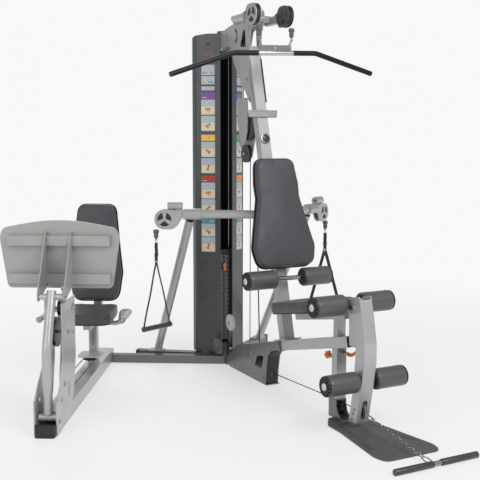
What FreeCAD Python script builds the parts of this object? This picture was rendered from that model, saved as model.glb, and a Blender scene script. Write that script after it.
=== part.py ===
import FreeCAD, Part
import math
import os
import Sketcher
from FreeCAD import Placement, Rotation, Vector

# Multi station home gym. Millimetres. +Z is up and the floor is z = 0.
# The user on the main seat faces -Y; +X is on the viewer's right from the front.
# The origin is on the floor below the front edge of the main bracket.

doc = FreeCAD.newDocument("home_gym")

# ------------------------------------------------------------------ driving dimensions
SIZES = {
    "wall": 3, "plate": 6, "slide_gap": 1,
    "column_wide": 64, "column_deep": 54,
    "beam_wide": 64, "beam_tall": 54,
    "post_wide": 55, "post_deep": 45,
    "bracket_wide": 84,
    "leg_wide": 50, "leg_tall": 50,
    "rail_wide": 100, "rail_tall": 75,
    "crossbar_dia": 48, "collar_dia": 62, "collar_long": 100, "brace_dia": 48,
    "roller_dia": 102, "roller_long": 160, "roller_bore": 26, "shaft_dia": 25, "cap_thick": 14,
    "cable_dia": 5,
    "plate_pitch": 27, "weight_thick": 26, "weight_wide": 240, "weight_deep": 138,
    "rod_dia": 22, "rod_spread": 160, "rod_bore": 24, "stem_dia": 24,
    "shroud_thick": 5, "shroud_tall": 1950,
    "wheel_radius": 48, "top_wheel_radius": 59, "wheel_thick": 20, "housing_radius": 57,
    "bar_dia": 28, "row_bar_dia": 30, "swing_dia": 46,
    "pad_thick": 58, "seat_thick": 70, "press_seat_thick": 73,
    "bolt_dia": 16, "bolt_head": 7,
}
sheet = doc.addObject("Spreadsheet::Sheet", "sheet")
for row, (alias, value) in enumerate(SIZES.items(), start=1):
    sheet.set("A%d" % row, alias)
    sheet.set("B%d" % row, str(value))
    sheet.setAlias("B%d" % row, alias)
doc.recompute()


def size(alias):
    """The value of one cell of the sheet, in millimetres."""
    return float(getattr(sheet, alias))


NODES = {}
UP = Vector(0, 0, 1)
SIDEWAYS = Rotation(Vector(1, 1, 1), 120)       # a sketch's x, y lie along Y, Z; its normal along X
FRONTWISE = Rotation(Vector(1, 0, 0), 90)       # a sketch's x, y lie along X, Z; its normal along -Y


# ------------------------------------------------------------------ helpers
def node(name, thing):
    """Registers a finished sub-part under the name of its file."""
    thing.Label = name
    NODES[name] = thing
    return thing


def rounded(points, radii):
    """Line and arc edges of a closed outline whose corners are rounded by radii."""
    count = len(points)
    ends = []
    for i in range(count):
        here = Vector(*points[i], 0)
        radius = radii[i] if isinstance(radii, (list, tuple)) else radii
        if radius <= 0:
            ends.append((here, None, here))
            continue
        to_before = (Vector(*points[i - 1], 0) - here).normalize()
        to_after = (Vector(*points[(i + 1) % count], 0) - here).normalize()
        half = to_before.getAngle(to_after) / 2
        reach = radius / math.tan(half)
        bisector = (to_before + to_after).normalize()
        middle = here + bisector * (radius / math.sin(half) - radius)
        ends.append((here + to_before * reach, middle, here + to_after * reach))
    edges = []
    for i in range(count):
        start, middle, end = ends[i]
        if middle is not None:
            edges.append(Part.Arc(start, middle, end))
        following = ends[(i + 1) % count][0]
        if (following - end).Length > 1e-6:
            edges.append(Part.LineSegment(end, following))
    return edges


def new_sketch(body, name):
    """A sketch on the body's own XY plane."""
    sketch = body.newObject("Sketcher::SketchObject", name)
    plane = [feature for feature in body.Origin.OriginFeatures if feature.Role == "XY_Plane"][0]
    sketch.AttachmentSupport = (plane, [""])
    sketch.MapMode = "FlatFace"
    return sketch


def finish_pad(body, sketch, length, middle, place):
    pad = body.newObject("PartDesign::Pad", body.Name + "_pad")
    pad.Profile = sketch
    pad.Midplane = middle
    if isinstance(length, str):
        pad.setExpression("Length", length)
    else:
        pad.Length = length
    body.Tip = pad
    body.Placement = place
    return body


def plate(name, outlines, thick, place, circles=(), middle=True):
    """A plate: outlines [(points, radii), ...] and round holes, padded by a cell or a number."""
    body = doc.addObject("PartDesign::Body", name)
    sketch = new_sketch(body, name + "_sketch")
    for points, radii in outlines:
        sketch.addGeometry(rounded(points, radii), False)
    for x, y, radius in circles:
        sketch.addGeometry(Part.Circle(Vector(x, y, 0), UP, radius), False)
    return finish_pad(body, sketch, thick, middle, place)


def along(start, end, roll=0):
    """The placement whose local Z runs from start to end, with local X level."""
    start = Vector(*start)
    direction = (Vector(*end) - start).normalize()
    level = UP.cross(direction)
    if level.Length < 1e-6:
        level = Vector(1, 0, 0)
    level.normalize()
    turn = Rotation(level, direction.cross(level), direction, "ZXY")
    return Placement(start, turn.multiply(Rotation(UP, roll)))


def rectangle(sketch, wide, tall):
    """Four constrained lines centred on the sketch's origin, sized by expressions."""
    first = sketch.GeometryCount
    spots = [Vector(-9, -9, 0), Vector(9, -9, 0), Vector(9, 9, 0), Vector(-9, 9, 0)]
    for i in range(4):
        sketch.addGeometry(Part.LineSegment(spots[i], spots[(i + 1) % 4]), False)
    for i in range(4):
        sketch.addConstraint(Sketcher.Constraint("Coincident", first + i, 2, first + (i + 1) % 4, 1))
    for i in (0, 2):
        sketch.addConstraint(Sketcher.Constraint("Horizontal", first + i))
        sketch.addConstraint(Sketcher.Constraint("Vertical", first + i + 1))
    sketch.addConstraint(Sketcher.Constraint("Symmetric", first, 1, first + 2, 1, -1, 1))
    across = sketch.addConstraint(Sketcher.Constraint("DistanceX", first, 1, first, 2, 18.0))
    sketch.setExpression("Constraints[%d]" % across, wide)
    upward = sketch.addConstraint(Sketcher.Constraint("DistanceY", first + 1, 1, first + 1, 2, 18.0))
    sketch.setExpression("Constraints[%d]" % upward, tall)


def box_tube(name, start, end, wide, tall, roll=0):
    """A hollow square tube from start to end; wide and tall are cells."""
    body = doc.addObject("PartDesign::Body", name)
    sketch = new_sketch(body, name + "_sketch")
    rectangle(sketch, "sheet." + wide, "sheet." + tall)
    rectangle(sketch, "sheet.%s - 2 * sheet.wall" % wide, "sheet.%s - 2 * sheet.wall" % tall)
    length = (Vector(*end) - Vector(*start)).Length
    return finish_pad(body, sketch, length, False, along(start, end, roll))


def round_tube(name, start, end, outer, inner=None):
    """A round tube from start to end; outer and inner are expressions for the diameters."""
    body = doc.addObject("PartDesign::Body", name)
    sketch = new_sketch(body, name + "_sketch")
    if inner is None:
        inner = outer + " - 2 * sheet.wall"
    for diameter in (outer, inner):
        if diameter == "0":
            continue
        index = sketch.addGeometry(Part.Circle(Vector(0, 0, 0), UP, 5), False)
        sketch.addConstraint(Sketcher.Constraint("Coincident", index, 3, -1, 1))
        bore = sketch.addConstraint(Sketcher.Constraint("Diameter", index, 10.0))
        sketch.setExpression("Constraints[%d]" % bore, diameter)
    length = (Vector(*end) - Vector(*start)).Length
    return finish_pad(body, sketch, length, False, along(start, end))


def turned(name, profile, place):
    """A solid of revolution about local Y of a half profile [(radius, height), ...]."""
    body = doc.addObject("PartDesign::Body", name)
    sketch = new_sketch(body, name + "_sketch")
    sketch.addGeometry(rounded(profile, 0), False)
    spin = body.newObject("PartDesign::Revolution", name + "_spin")
    spin.Profile = sketch
    spin.ReferenceAxis = (sketch, ["V_Axis"])
    spin.Angle = 360
    body.Tip = spin
    body.Placement = place
    return body


def cylinder(name, radius, length, start, direction):
    """A Part cylinder; radius and length are numbers or expressions."""
    item = doc.addObject("Part::Cylinder", name)
    for key, value in (("Radius", radius), ("Height", length)):
        if isinstance(value, str):
            item.setExpression(key, value)
        else:
            setattr(item, key, value)
    item.Placement = Placement(Vector(*start), Rotation(UP, Vector(*direction)))
    return item


def box(name, sizes, corner, turn=None):
    """A Part box with its lowest corner at corner; sizes are numbers or expressions."""
    item = doc.addObject("Part::Box", name)
    for key, value in zip(("Length", "Width", "Height"), sizes):
        if isinstance(value, str):
            item.setExpression(key, value)
        else:
            setattr(item, key, value)
    item.Placement = Placement(Vector(*corner), turn or Rotation())
    return item


def fuse(name, items):
    joined = doc.addObject("Part::MultiFuse", name)
    joined.Shapes = items
    return joined


def cut(name, base, tool):
    result = doc.addObject("Part::Cut", name)
    result.Base = base
    result.Tool = tool
    return result


def group(name, items):
    """Separate solids kept as one sub-part."""
    bundle = doc.addObject("Part::Compound", name)
    bundle.Links = items
    return bundle


def path_wire(points, radii):
    """Straight runs joined by tangent arcs through an open list of points."""
    spots = [Vector(*point) for point in points]
    edges = []
    last = spots[0]
    for i in range(1, len(spots) - 1):
        radius = radii[i - 1] if isinstance(radii, (list, tuple)) else radii
        back = (spots[i - 1] - spots[i]).normalize()
        ahead = (spots[i + 1] - spots[i]).normalize()
        half = back.getAngle(ahead) / 2
        reach = radius / math.tan(half)
        start = spots[i] + back * reach
        end = spots[i] + ahead * reach
        middle = spots[i] + (back + ahead).normalize() * (radius / math.sin(half) - radius)
        edges.append(Part.LineSegment(last, start).toShape())
        edges.append(Part.Arc(start, middle, end).toShape())
        last = end
    edges.append(Part.LineSegment(last, spots[-1]).toShape())
    return Part.Wire(edges)


def bent_rod(name, points, radii, diameter, bore=0, place=None):
    """A round rod or tube swept along runs and arcs; the diameters are numbers from the sheet."""
    wire = path_wire(points, radii)
    start = Vector(*points[0])
    direction = Vector(*points[1]) - start
    solids = []
    for across in (diameter, bore):
        if across > 0:
            ring = Part.Wire(Part.Circle(start, direction, across / 2).toShape())
            solids.append(wire.makePipeShell([ring], True, True))
    shape = solids[0] if len(solids) == 1 else solids[0].cut(solids[1])
    item = doc.addObject("Part::Feature", name)
    item.Shape = shape
    if place is not None:
        item.Placement = place
    return item


def shifted(place, thing):
    """Carries a finished object into another local frame."""
    thing.Placement = place.multiply(thing.Placement)
    return thing


# ------------------------------------------------------------------ layout shared by the sections
LEAN = 0.262                                    # the column leans back by this slope
COLUMN_FOOT = (-195.0, 300.0)                   # y and z of the column's front face at its foot
BEAM_SLOPE = 0.247                              # the seat beam rises this much towards the front
SEAT_SLOPE = 0.198                              # and so does the seat
PIVOT = (-835.0, 597.0)                         # y and z of the leg developer's pivot
PRESS_FRAME = Placement(Vector(-1363, -260, 0), Rotation(UP, -30))   # the leg press's own frame
ROD_Y = 703.0
STACK_FRONT = 612.0
STACK_LOW = 130.0
WHEEL_TOP = (100.0, 41.0, 2054.0)               # centre of the right top wheel
PAD_LOW = 668.0                                 # the back pad is set out from this height
PAD_STANDOFF = 42.0                             # from the column's face to the pad's back, along Y
COLLAR = (388.0, 223.0, 969.0)                  # centre of the right collar
UPRIGHT_WHEELS = ((325, 548, 44), (240, 447, 74))   # y, z and radius of the leg press uprights' pulleys
ARM_OUT = Vector(0.857, 0.515, 0)               # direction of the right press tube
CROWN = (403.0, 1976.0, 55.0)                   # y, z and radius of each pulley in the frame
UPPER = (279.4, 1453.0, 75.0)
LOWER = (312.0, 1300.0, 52.0)
TOWER = (654.2, 1985.0, 52.0)
LOW = (-672.0, 58.0, 38.0)
BEAM_TILT = Rotation(Vector(1, 0, 0), -math.degrees(math.atan(BEAM_SLOPE)))
CABLE_OFFSET = -3.2                             # from a wheel's rim radius to its cable's centre line


def column_front(z):
    return COLUMN_FOOT[0] + LEAN * (z - COLUMN_FOOT[1])


def beam_centre(y):
    """Height of the seat beam's centre line above a point at y."""
    return 248 - BEAM_SLOPE * (y + 98)


def mirrored(point):
    return (-point[0], point[1], point[2])


# ------------------------------------------------------------------ base: bracket, hub, legs
def build_base():
    outline = [(0, 0), (440, 0), (484, 14), (484, 60), (398, 118), (342, 159),
               (-148, 287), (-161, 234), (-100, 222), (-52, 204), (-22, 168), (-6, 80)]
    inner = [(10, -1), (430, -1), (474, 18), (474, 56), (392, 112), (338, 152),
             (-90, 262), (-90, 228), (-46, 212), (-13, 170), (4, 80)]
    shell = plate("bracket_shell", [(outline, 0)], "sheet.bracket_wide", Placement(Vector(), SIDEWAYS))
    hollow = plate("bracket_hollow", [(inner, 0)], "sheet.bracket_wide - 2 * sheet.wall",
                   Placement(Vector(), SIDEWAYS))
    window = plate("bracket_window", [([(20, 164), (98, 148), (128, 86), (44, 86)], 6)], 200,
                   Placement(Vector(), SIDEWAYS))
    slit = plate("bracket_slit", [([(205, 112), (213, 112), (213, 178), (205, 178)], 3)], 200,
                 Placement(Vector(), SIDEWAYS))
    mouth = box("bracket_mouth", (22, 60, 52), (-11, -45, 40))
    body = cut("bracket_cut", shell, fuse("bracket_tools", [hollow, window, slit, mouth]))
    lip = box("floor_lip", ("sheet.bracket_wide", 60, 6), (-42, -14, 0))
    node("main_bracket", fuse("bracket_solid", [body, lip]))

    strip = [(-1.1, 8), (-6.6, 80), (-22.8, 167.6), (-52.4, 203.2), (-100.3, 221.2),
             (-102, 215), (-56, 198), (-28, 165), (-12.6, 80), (-7.1, 8)]
    cover = plate("cover_strip", [(strip, 0)], "sheet.bracket_wide - 20", Placement(Vector(), SIDEWAYS))
    slot = plate("cover_slot", [([(-9, 46), (9, 46), (9, 86), (-9, 86)], 8.5)], 80,
                 Placement(Vector(), FRONTWISE))
    front_cover = cut("cover_cut", cover, slot)
    rear_panel = box("rear_panel", (236, "sheet.shroud_thick", 1865), (-118, 765.5, 62))
    node("black_covers", group("cover_set", [front_cover, rear_panel]))

    hub_tube = box("hub_box", (84, 134, 58), (-42, 486.5, 0))
    tray = box("hub_tray", (220, 104, 8), (-110, 648, 58))
    tie = box("hub_tie", (84, 60, 58), (-42, 620, 0))
    tray_foot = box("hub_tray_foot", (84, 80, 58), (-42, 676, 0))
    mast_side = [(490, 50), (520, 50), (472, 262), (466, 290), (434, 290), (430, 262), (484, 110)]
    mast = plate("cover_mast", [(mast_side, 0)], 8, Placement(Vector(-30, 0, 0), SIDEWAYS), middle=False)
    mast_cover = cylinder("mast_cover", 50, 12, (-42, 450, 272), (1, 0, 0))
    disc = cylinder("low_cover", 50, 20, (-105, 500, 123), (1, 0, 0))
    disc_axle = cylinder("low_cover_axle", 10, 40, (-95, 500, 123), (1, 0, 0))
    disc_neck = box("low_cover_neck", (18, 30, 88), (-60, 485, 50.5))
    bumpers = [cylinder("bumper", 24, STACK_LOW - 67, (x, ROD_Y, 66), (0, 0, 1)) for x in (-80, 80)]
    bores = [cylinder("rod_seat", "sheet.rod_bore / 2", 100, (x, ROD_Y, 62), (0, 0, 1)) for x in (-80, 80)]
    covers = [mast, mast_cover, disc, disc_axle, disc_neck]
    solid = fuse("tower_base_solid", [hub_tube, tray, tie, tray_foot] + covers + bumpers)
    node("tower_base", cut("tower_base_cut", solid, fuse("rod_seats", bores)))

    legs = []
    caps = []
    for side in (-1, 1):
        start = Vector(side * 46, 612, 25)
        ahead = Vector(side * math.cos(math.radians(36.5)), math.sin(math.radians(36.5)), 0)
        end = start + ahead * 500
        leg = box_tube("rear_leg", start, end, "leg_wide", "leg_tall")
        legs.append(cut("rear_leg_cut", leg, hub_room()))
        caps.append(box_tube("leg_cap", end + ahead * 0.3, end + ahead * 22, "leg_wide", "leg_tall"))
    node("rear_legs", group("rear_leg_pair", legs))
    rail_cap = plate("rail_cap", [([(-47, -32), (47, -32), (49.5, -0.3), (-49.5, -0.3)], [14, 14, 0, 0])],
                     56,
                     Placement(Vector(0, 0, 1), Rotation()), middle=False)
    node("foot_caps", group("foot_cap_set", caps + [shifted(PRESS_FRAME, rail_cap)]))

    link_start = PRESS_FRAME.multVec(Vector(756, 1350, 25))
    link_end = PRESS_FRAME.multVec(Vector(50.5, 1350, 25))
    link = box_tube("link_tube", link_start, link_end, "leg_wide", "leg_tall")
    node("link_beam", cut("link_cut", link, hub_room()))


def hub_room():
    """The space of the tower's hub, which trims the tubes that butt against it."""
    return box("hub_room", (84.4, 320, 90), (-42.2, 400, -5))


# ------------------------------------------------------------------ seat beam, post, hanger, platform
def build_front():
    front = (0, -782, beam_centre(-782))
    back = (0, -156, beam_centre(-156))
    tube = box_tube("beam_tube", back, front, "beam_wide", "beam_tall")
    passage = box("beam_passage", ("sheet.post_wide - 4", "sheet.post_deep - 4", 300), (-25.5, -693, 250))
    node("seat_beam", cut("beam_cut", tube, passage))

    post_top = beam_centre(-672.5) - size("beam_tall") / 2 + 30
    post = box_tube("post_tube", (0, -672.5, 108.3), (0, -672.5, post_top), "post_wide", "post_deep")
    beam_room = shifted(Placement(Vector(0, -98, 220), BEAM_TILT), box("beam_room", (90, 800, 200), (-45, -800, 0)))
    node("front_post", cut("post_cut", post, beam_room))

    outline = [(-789.5, 402), (-862, 402), (-862, 440), (-858, 560), (-864, 600), (-848, 628), (-812, 632),
               (-752, 622), (-748, 585), (-786, 560)]
    hanger = plate("hanger_block", [(outline, 6)], 48, Placement(Vector(), SIDEWAYS),
                   circles=[(PIVOT[0], PIVOT[1], 10.2), (-774, 600, 12.8)])
    node("front_hanger", hanger)

    outline = [(-55, -665), (-110, -745), (-112, -850), (-160, -1190), (-140, -1255),
               (155, -1255), (175, -1190), (120, -850), (118, -745), (55, -665)]
    floor_plate = plate("platform_plate", [(outline, [20, 70, 200, 120, 42, 42, 120, 200, 70, 20])], 10,
                        Placement(), middle=False)
    node("foot_platform", floor_plate)

    cheek = [(-632, 10.3), (-756, 10.3), (-738, 20), (-708, 46), (-697, 80), (-697, 108), (-632, 108)]
    outer = plate("low_cheeks", [(cheek, 0)], 62, Placement(Vector(), SIDEWAYS))
    inner = box("low_room", (50, 160, 87), (-25, -780, 16))
    pin = cylinder("low_pin", 8, 62, (-31, LOW[0], LOW[1]), (1, 0, 0))
    node("low_pulley_bracket", fuse("low_solid", [cut("low_cut", outer, inner), pin]))


# ------------------------------------------------------------------ column, top arm, tower
def build_column():
    foot_z = COLUMN_FOOT[1]
    top_z = 1900
    offset = size("column_deep") / 2 * math.sqrt(1 + LEAN ** 2)
    start = (0, column_front(foot_z) + offset, foot_z - 1)
    end = (0, column_front(top_z) + offset, top_z)
    tube = box_tube("column_tube", start, end, "column_wide", "column_deep")
    foot_spot = Placement(Vector(0, -172, beam_centre(-172) + 28), BEAM_TILT)
    foot = shifted(foot_spot, box("column_foot", (104, 120, 7), (-52, -60, 0)))
    slope = Rotation(Vector(1, 0, 0), -math.degrees(math.atan(LEAN)))
    face = Placement(Vector(0, column_front(PAD_LOW) + 1, PAD_LOW), FRONTWISE.multiply(slope))
    mount = plate("pad_mount", [([(-27, 90), (27, 90), (27, 530), (-27, 530)], 4)],
                  PAD_STANDOFF / math.sqrt(1 + LEAN ** 2) + 0.5, face, middle=False)
    node("spine_column", fuse("column_solid", [tube, foot, mount]))


def build_top():
    side = size("column_wide") / 2 + 0.3
    outline = [(602, 1925), (600, 2008), (480, 2035), (330, 2062), (285, 2098), (225, 2112), (178, 2100),
               (160, 2050), (200, 1990), (212, 1860), (205, 1720), (160, 1585), (208, 1592), (262, 1660),
               (318, 1722), (400, 1820), (440, 1925)]
    radii = [0, 6, 0, 0, 20, 20, 30, 12, 0, 0, 0, 6, 6, 20, 30, 60, 60]
    window = [(330, 1905), (252, 1905), (262, 2010), (300, 1990)]
    turns = [math.radians(10 * step) for step in range(-7, 8)]
    crescent = [(CROWN[0] - 50 * math.cos(turn), CROWN[1] + 50 * math.sin(turn)) for turn in turns]
    crescent += [(CROWN[0] - 30 * math.cos(turn), CROWN[1] + 30 * math.sin(turn)) for turn in reversed(turns)]
    plates = []
    for x in (-side - size("plate"), side):
        plates.append(plate("arm_plate", [(outline, radii), (window, 8), (crescent, 0)], "sheet.plate",
                            Placement(Vector(x, 0, 0), SIDEWAYS), middle=False))
    barrels = []
    for x in (-WHEEL_TOP[0], WHEEL_TOP[0]):
        barrels.append(round_tube("head_barrel", (x, 114, 2054), (x, 250, 2054), "65", "33"))
    ties = [cylinder("barrel_tie", 17, 137, (-68.5, 180, 2054), (1, 0, 0))]
    crosshead = box("crosshead", (220, 60, 12), (-110, ROD_Y - 30, 1912))
    seats = [cylinder("rod_top", "sheet.rod_bore / 2", 20, (x, ROD_Y, 1908), (0, 0, 1)) for x in (-80, 80)]
    cable_way = box("cable_way", (30, 30, 20), (-15, ROD_Y - 15, 1908))
    head_plate = cut("crosshead_cut", crosshead, fuse("crosshead_tools", seats + [cable_way]))
    necks = [box("crosshead_neck", ("sheet.plate", 125, 90), (x, 580, 1912)) for x in (-side - 6, side)]
    pins = [cylinder("arm_pin", 8, 76.6, (-38.3, spot[0], spot[1]), (1, 0, 0)) for spot in (CROWN, TOWER)]
    node("top_arm", fuse("top_arm_solid", plates + barrels + ties + pins + [head_plate] + necks))

    for name, sign in (("left_shroud", -1), ("right_shroud", 1)):
        thick = size("shroud_thick")
        outer = [(41.5, 573), (158, 664), (163, 676), (163, 712), (120, 765)]
        inner = [(120 - thick, 761), (163 - thick, 710), (163 - thick, 678), (154, 667.5), (38.5, 577)]
        points = [(sign * x, y) for x, y in outer + inner]
        if sign < 0:
            points.reverse()
        shell = plate(name + "_shell", [(points, 0)], "sheet.shroud_tall",
                      Placement(Vector(0, 0, 62), Rotation()), middle=False)
        slope = math.degrees(math.atan2(40, 180))
        trim = box(name + "_trim", (500, 500, 200), (-250, 400, 2062), Rotation(Vector(1, 0, 0), -slope))
        node(name, cut(name + "_cut", shell, trim))

    node("guide_rods", group("rods",
                             [cylinder("rod", "sheet.rod_dia / 2", 1875, (x, ROD_Y, 66.2), (0, 0, 1))
                                      for x in (-80, 80)]))


def build_stack():
    pitch = size("plate_pitch")
    half = size("weight_wide") / 2
    lifted = 3
    total = 20
    pin_reach = ROD_Y + 10 - STACK_FRONT

    def slab(index, thick):
        holes = [(-80, ROD_Y, size("rod_bore") / 2), (80, ROD_Y, size("rod_bore") / 2)]
        if index < total:
            holes.append((0, ROD_Y, size("stem_dia") / 2 + 1))
        right = [(half - 50, STACK_FRONT), (half, STACK_FRONT + 42),
                 (half, STACK_FRONT + size("weight_deep"))]
        corners = right + [(-x, y) for x, y in reversed(right)]
        body = plate("weight_slab", [(corners, 3)], thick,
                     Placement(Vector(0, 0, STACK_LOW + index * pitch),
                               Rotation()), circles=holes, middle=False)
        bore = cylinder("pin_bore", 5.5, pin_reach, (0, STACK_FRONT - 1, STACK_LOW + index * pitch + 13),
                        (0, 1, 0))
        return cut("weight_plate", body, bore)

    resting = [slab(index, "sheet.weight_thick") for index in range(total - lifted)]
    node("resting_weights", group("resting_plates", resting))
    rising = [slab(index, "sheet.weight_thick") for index in range(total - lifted, total)]
    stem_low = STACK_LOW + 3
    head_z = STACK_LOW + total * pitch
    head = slab(total, 30)
    stem = cylinder("stem", "sheet.stem_dia / 2", head_z + 40 - stem_low, (0, ROD_Y, stem_low), (0, 0, 1))
    pin_holes = [cylinder("stem_hole", 5.5, 60, (0, ROD_Y - 30, STACK_LOW + index * pitch + 13), (0, 1, 0))
                 for index in range(total)]
    stem_head = fuse("stem_and_head", [head, stem])
    node("weight_head", cut("weight_head_cut", stem_head, fuse("stem_holes", pin_holes)))
    node("lifted_weights", group("lifted_plates", rising))
    pin_z = STACK_LOW + (total - lifted) * pitch + 13
    shank = cylinder("pin_shank", 4.9, pin_reach, (0, STACK_FRONT - 1, pin_z), (0, 1, 0))
    handle = plate("pin_grip", [([(-11, -32), (11, -32), (11, 18), (-11, 18)], 8)], 16,
                   Placement(Vector(0, STACK_FRONT - 0.8, pin_z), FRONTWISE), middle=False)
    node("selector_pin", fuse("selector_pin_solid", [shank, handle]))
    node("stack_cable", cylinder("stack_cable_rod", "sheet.cable_dia / 2", 1985 - head_z - 40.3,
                                 (0, ROD_Y, head_z + 40.3), (0, 0, 1)))


# ------------------------------------------------------------------ press arm frame
def build_press_arms():
    inner = 18
    pieces = []
    gusset_outline = [(-38, -20), (-110, -20), (-112, -60), (-90, -96), (-38, -104)]
    for side in (-1, 1):
        out = Vector(side * ARM_OUT.x, ARM_OUT.y, 0)
        collar = Vector(side * COLLAR[0], COLLAR[1], COLLAR[2])
        steps = (COLLAR[0] - inner) / ARM_OUT.x
        start = collar - out * steps
        tube = round_tube("press_tube", start, collar - out * 50, "sheet.crossbar_dia")
        column_room = box("column_room", ("sheet.column_wide + 0.6", 300, 200), (-32.3, -150, 870))
        half_bar = [cut("press_tube_cut", tube, column_room),
                    round_tube("press_collar", collar - out * 50.5, collar + out * 50, "sheet.collar_dia",
                               "34")]
        points = [(side * -x, y) for x, y in gusset_outline]
        if side > 0:
            points.reverse()
        turn = Rotation(UP, side * math.degrees(math.atan2(ARM_OUT.y, ARM_OUT.x))).multiply(FRONTWISE)
        half_bar.append(plate("press_gusset", [(points, 4)], "sheet.plate",
                              Placement(Vector(side * 2, -9, COLLAR[2]), turn)))
        pieces.append(fuse("press_half", half_bar))
    node("press_crossbar", group("press_bars", pieces))

    braces = []
    for side in (-1, 1):
        top = (side * 386, 262, 932)
        low = (side * 364, 828, 40)
        tube = round_tube("brace", top, low, "sheet.brace_dia")
        below = box("brace_room", (300, 300, 56.5), (side * 364 - 150, 680, 0))
        foot = box("brace_foot", (90, 70, 6), (-45, -35, 51))
        foot.Placement = Placement(Vector(side * 364, 838, 50.8), Rotation(UP, side * 36.5)).multiply(
            Placement(Vector(-45, -35, 0), Rotation()))
        braces.append(fuse("brace_solid", [cut("brace_cut", tube, below), foot]))
    node("brace_tubes", group("brace_set", braces))


def wheel(name, centre, axis, radius, thick, bore=8.2):
    """A grooved pulley wheel about axis."""
    half = thick / 2
    profile = [(bore, -half), (radius, -half), (radius, -half + 3), (radius - 6, -2), (radius - 6, 2),
               (radius, half - 3), (radius, half), (bore, half)]
    turn = Rotation(Vector(0, 1, 0), Vector(*axis))
    return turned(name, profile, Placement(Vector(*centre), turn))


def three_holes(reach, radius):
    """Three round openings between the spokes of a head's cheek."""
    return [(reach * math.cos(math.radians(turn)), reach * math.sin(math.radians(turn)), radius)
            for turn in (30, 150, 270)]


def build_top_heads():
    for name, side in (("left", -1), ("right", 1)):
        centre = (side * WHEEL_TOP[0], WHEEL_TOP[1], WHEEL_TOP[2])
        node(name + "_top_wheel", wheel(name + "_wheel", centre, (1, 0, 0), size("top_wheel_radius"),
                                        size("wheel_thick")))
        discs = []
        for x in (-17, 12):
            outline = [(-58, -58), (58, -58), (70, -18), (70, 18), (58, 58), (-58, 58)]
            disc = plate("head_cheek", [(outline, [57, 40, 4, 4, 40, 57])], 5,
                         Placement(Vector(centre[0] + x, centre[1], centre[2]), SIDEWAYS), middle=False,
                         circles=three_holes(26, 13))
            discs.append(disc)
        axle = cylinder("head_axle", 8, 34, (centre[0] - 17, centre[1], centre[2]), (1, 0, 0))
        bridge = box("head_bridge", (34, 8, 36), (centre[0] - 17, centre[1] + 62, centre[2] - 18))
        shaft = cylinder("head_shaft", 16, 140, (centre[0], centre[1] + 68, centre[2]), (0, 1, 0))
        bore = cylinder("head_bore", 5, 300, (centre[0], centre[1] + 50, centre[2]), (0, 1, 0))
        solid = fuse(name + "_head_solid", discs + [axle, bridge, shaft])
        node(name + "_top_head", cut(name + "_head_cut", solid, bore))


def build_press_heads():
    """Each head turns about the press tube's line; its wheel hangs 30 mm below that line."""
    for name, side in (("left", -1), ("right", 1)):
        out = Vector(side * ARM_OUT.x, ARM_OUT.y, 0)
        collar = Vector(side * COLLAR[0], COLLAR[1], COLLAR[2])
        centre = collar + out * 155 + Vector(0, 0, -30)
        frame = Placement(centre, Rotation(out, UP.cross(out), UP, "ZXY"))
        normal = frame.Rotation.multVec(Vector(0, 1, 0))
        node(name + "_press_wheel", wheel(name + "_small_wheel", centre, normal, size("wheel_radius"),
                                          size("wheel_thick")))
        parts = []
        for y in (-17, 12):
            outline = [(-102, 46), (-102, 14), (-56, -56), (56, -56), (56, 56), (-30, 56)]
            cheek = plate("press_cheek", [(outline, [3, 8, 50, 55, 55, 30])], 5,
                          Placement(Vector(0, y + 5, 0), FRONTWISE), middle=False, circles=three_holes(25, 13))
            parts.append(shifted(frame, cheek))
        parts.append(shifted(frame, cylinder("press_axle", 8, 34, (0, -17, 0), (0, 1, 0))))
        parts.append(shifted(frame, box("press_web", (40, 26, 30), (-102, -13, 15))))
        parts.append(shifted(frame, cylinder("press_pivot", 16.5, 146, (-205, 0, 30), (1, 0, 0))))
        parts.append(shifted(frame, round_tube("press_guide", (-98, 0, 76), (-18, 0, 76), "44", "14")))
        parts.append(shifted(frame, box("press_guide_web", (30, 20, 24), (-98, -10, 38))))
        node(name + "_press_head", fuse(name + "_press_head_solid", parts))
        build_handle(name, frame)


def build_handle(name, frame):
    """A cable stop, a webbing strap with its loop, and a grip, hanging from the press wheel."""
    reach = 50
    stop = turned(name + "_stop", [(0, 0), (14, 0), (17, -16), (12, -46), (7, -52), (0, -52)],
                  Placement(Vector(reach, 0, -58), Rotation(Vector(1, 0, 0), 90)))
    strap = box(name + "_strap", (22, 5, 127), (reach - 11, -2.5, -242))
    stem = cylinder(name + "_eye", 5, 12, (reach, 0, -119), (0, 0, 1))
    legs = []
    for sign in (-1, 1):
        legs.append(bent_rod(name + "_leg", [(reach, 0, -238), (reach + sign * 98, 0, -602)], 0, 9))
    grip = cylinder(name + "_grip", 15, 210, (reach - 105, 0, -614), (1, 0, 0))
    joined = fuse(name + "_handle_solid", [stop, stem, strap] + legs + [grip])
    turn = Rotation(UP, 51.5 if name == "left" else -58)
    spot = frame.multiply(Placement(Vector(reach, 0, 0), turn)).multiply(Placement(Vector(-reach, 0, 0),
                                                                                   Rotation()))
    node(name + "_handle", shifted(spot, joined))


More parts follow.
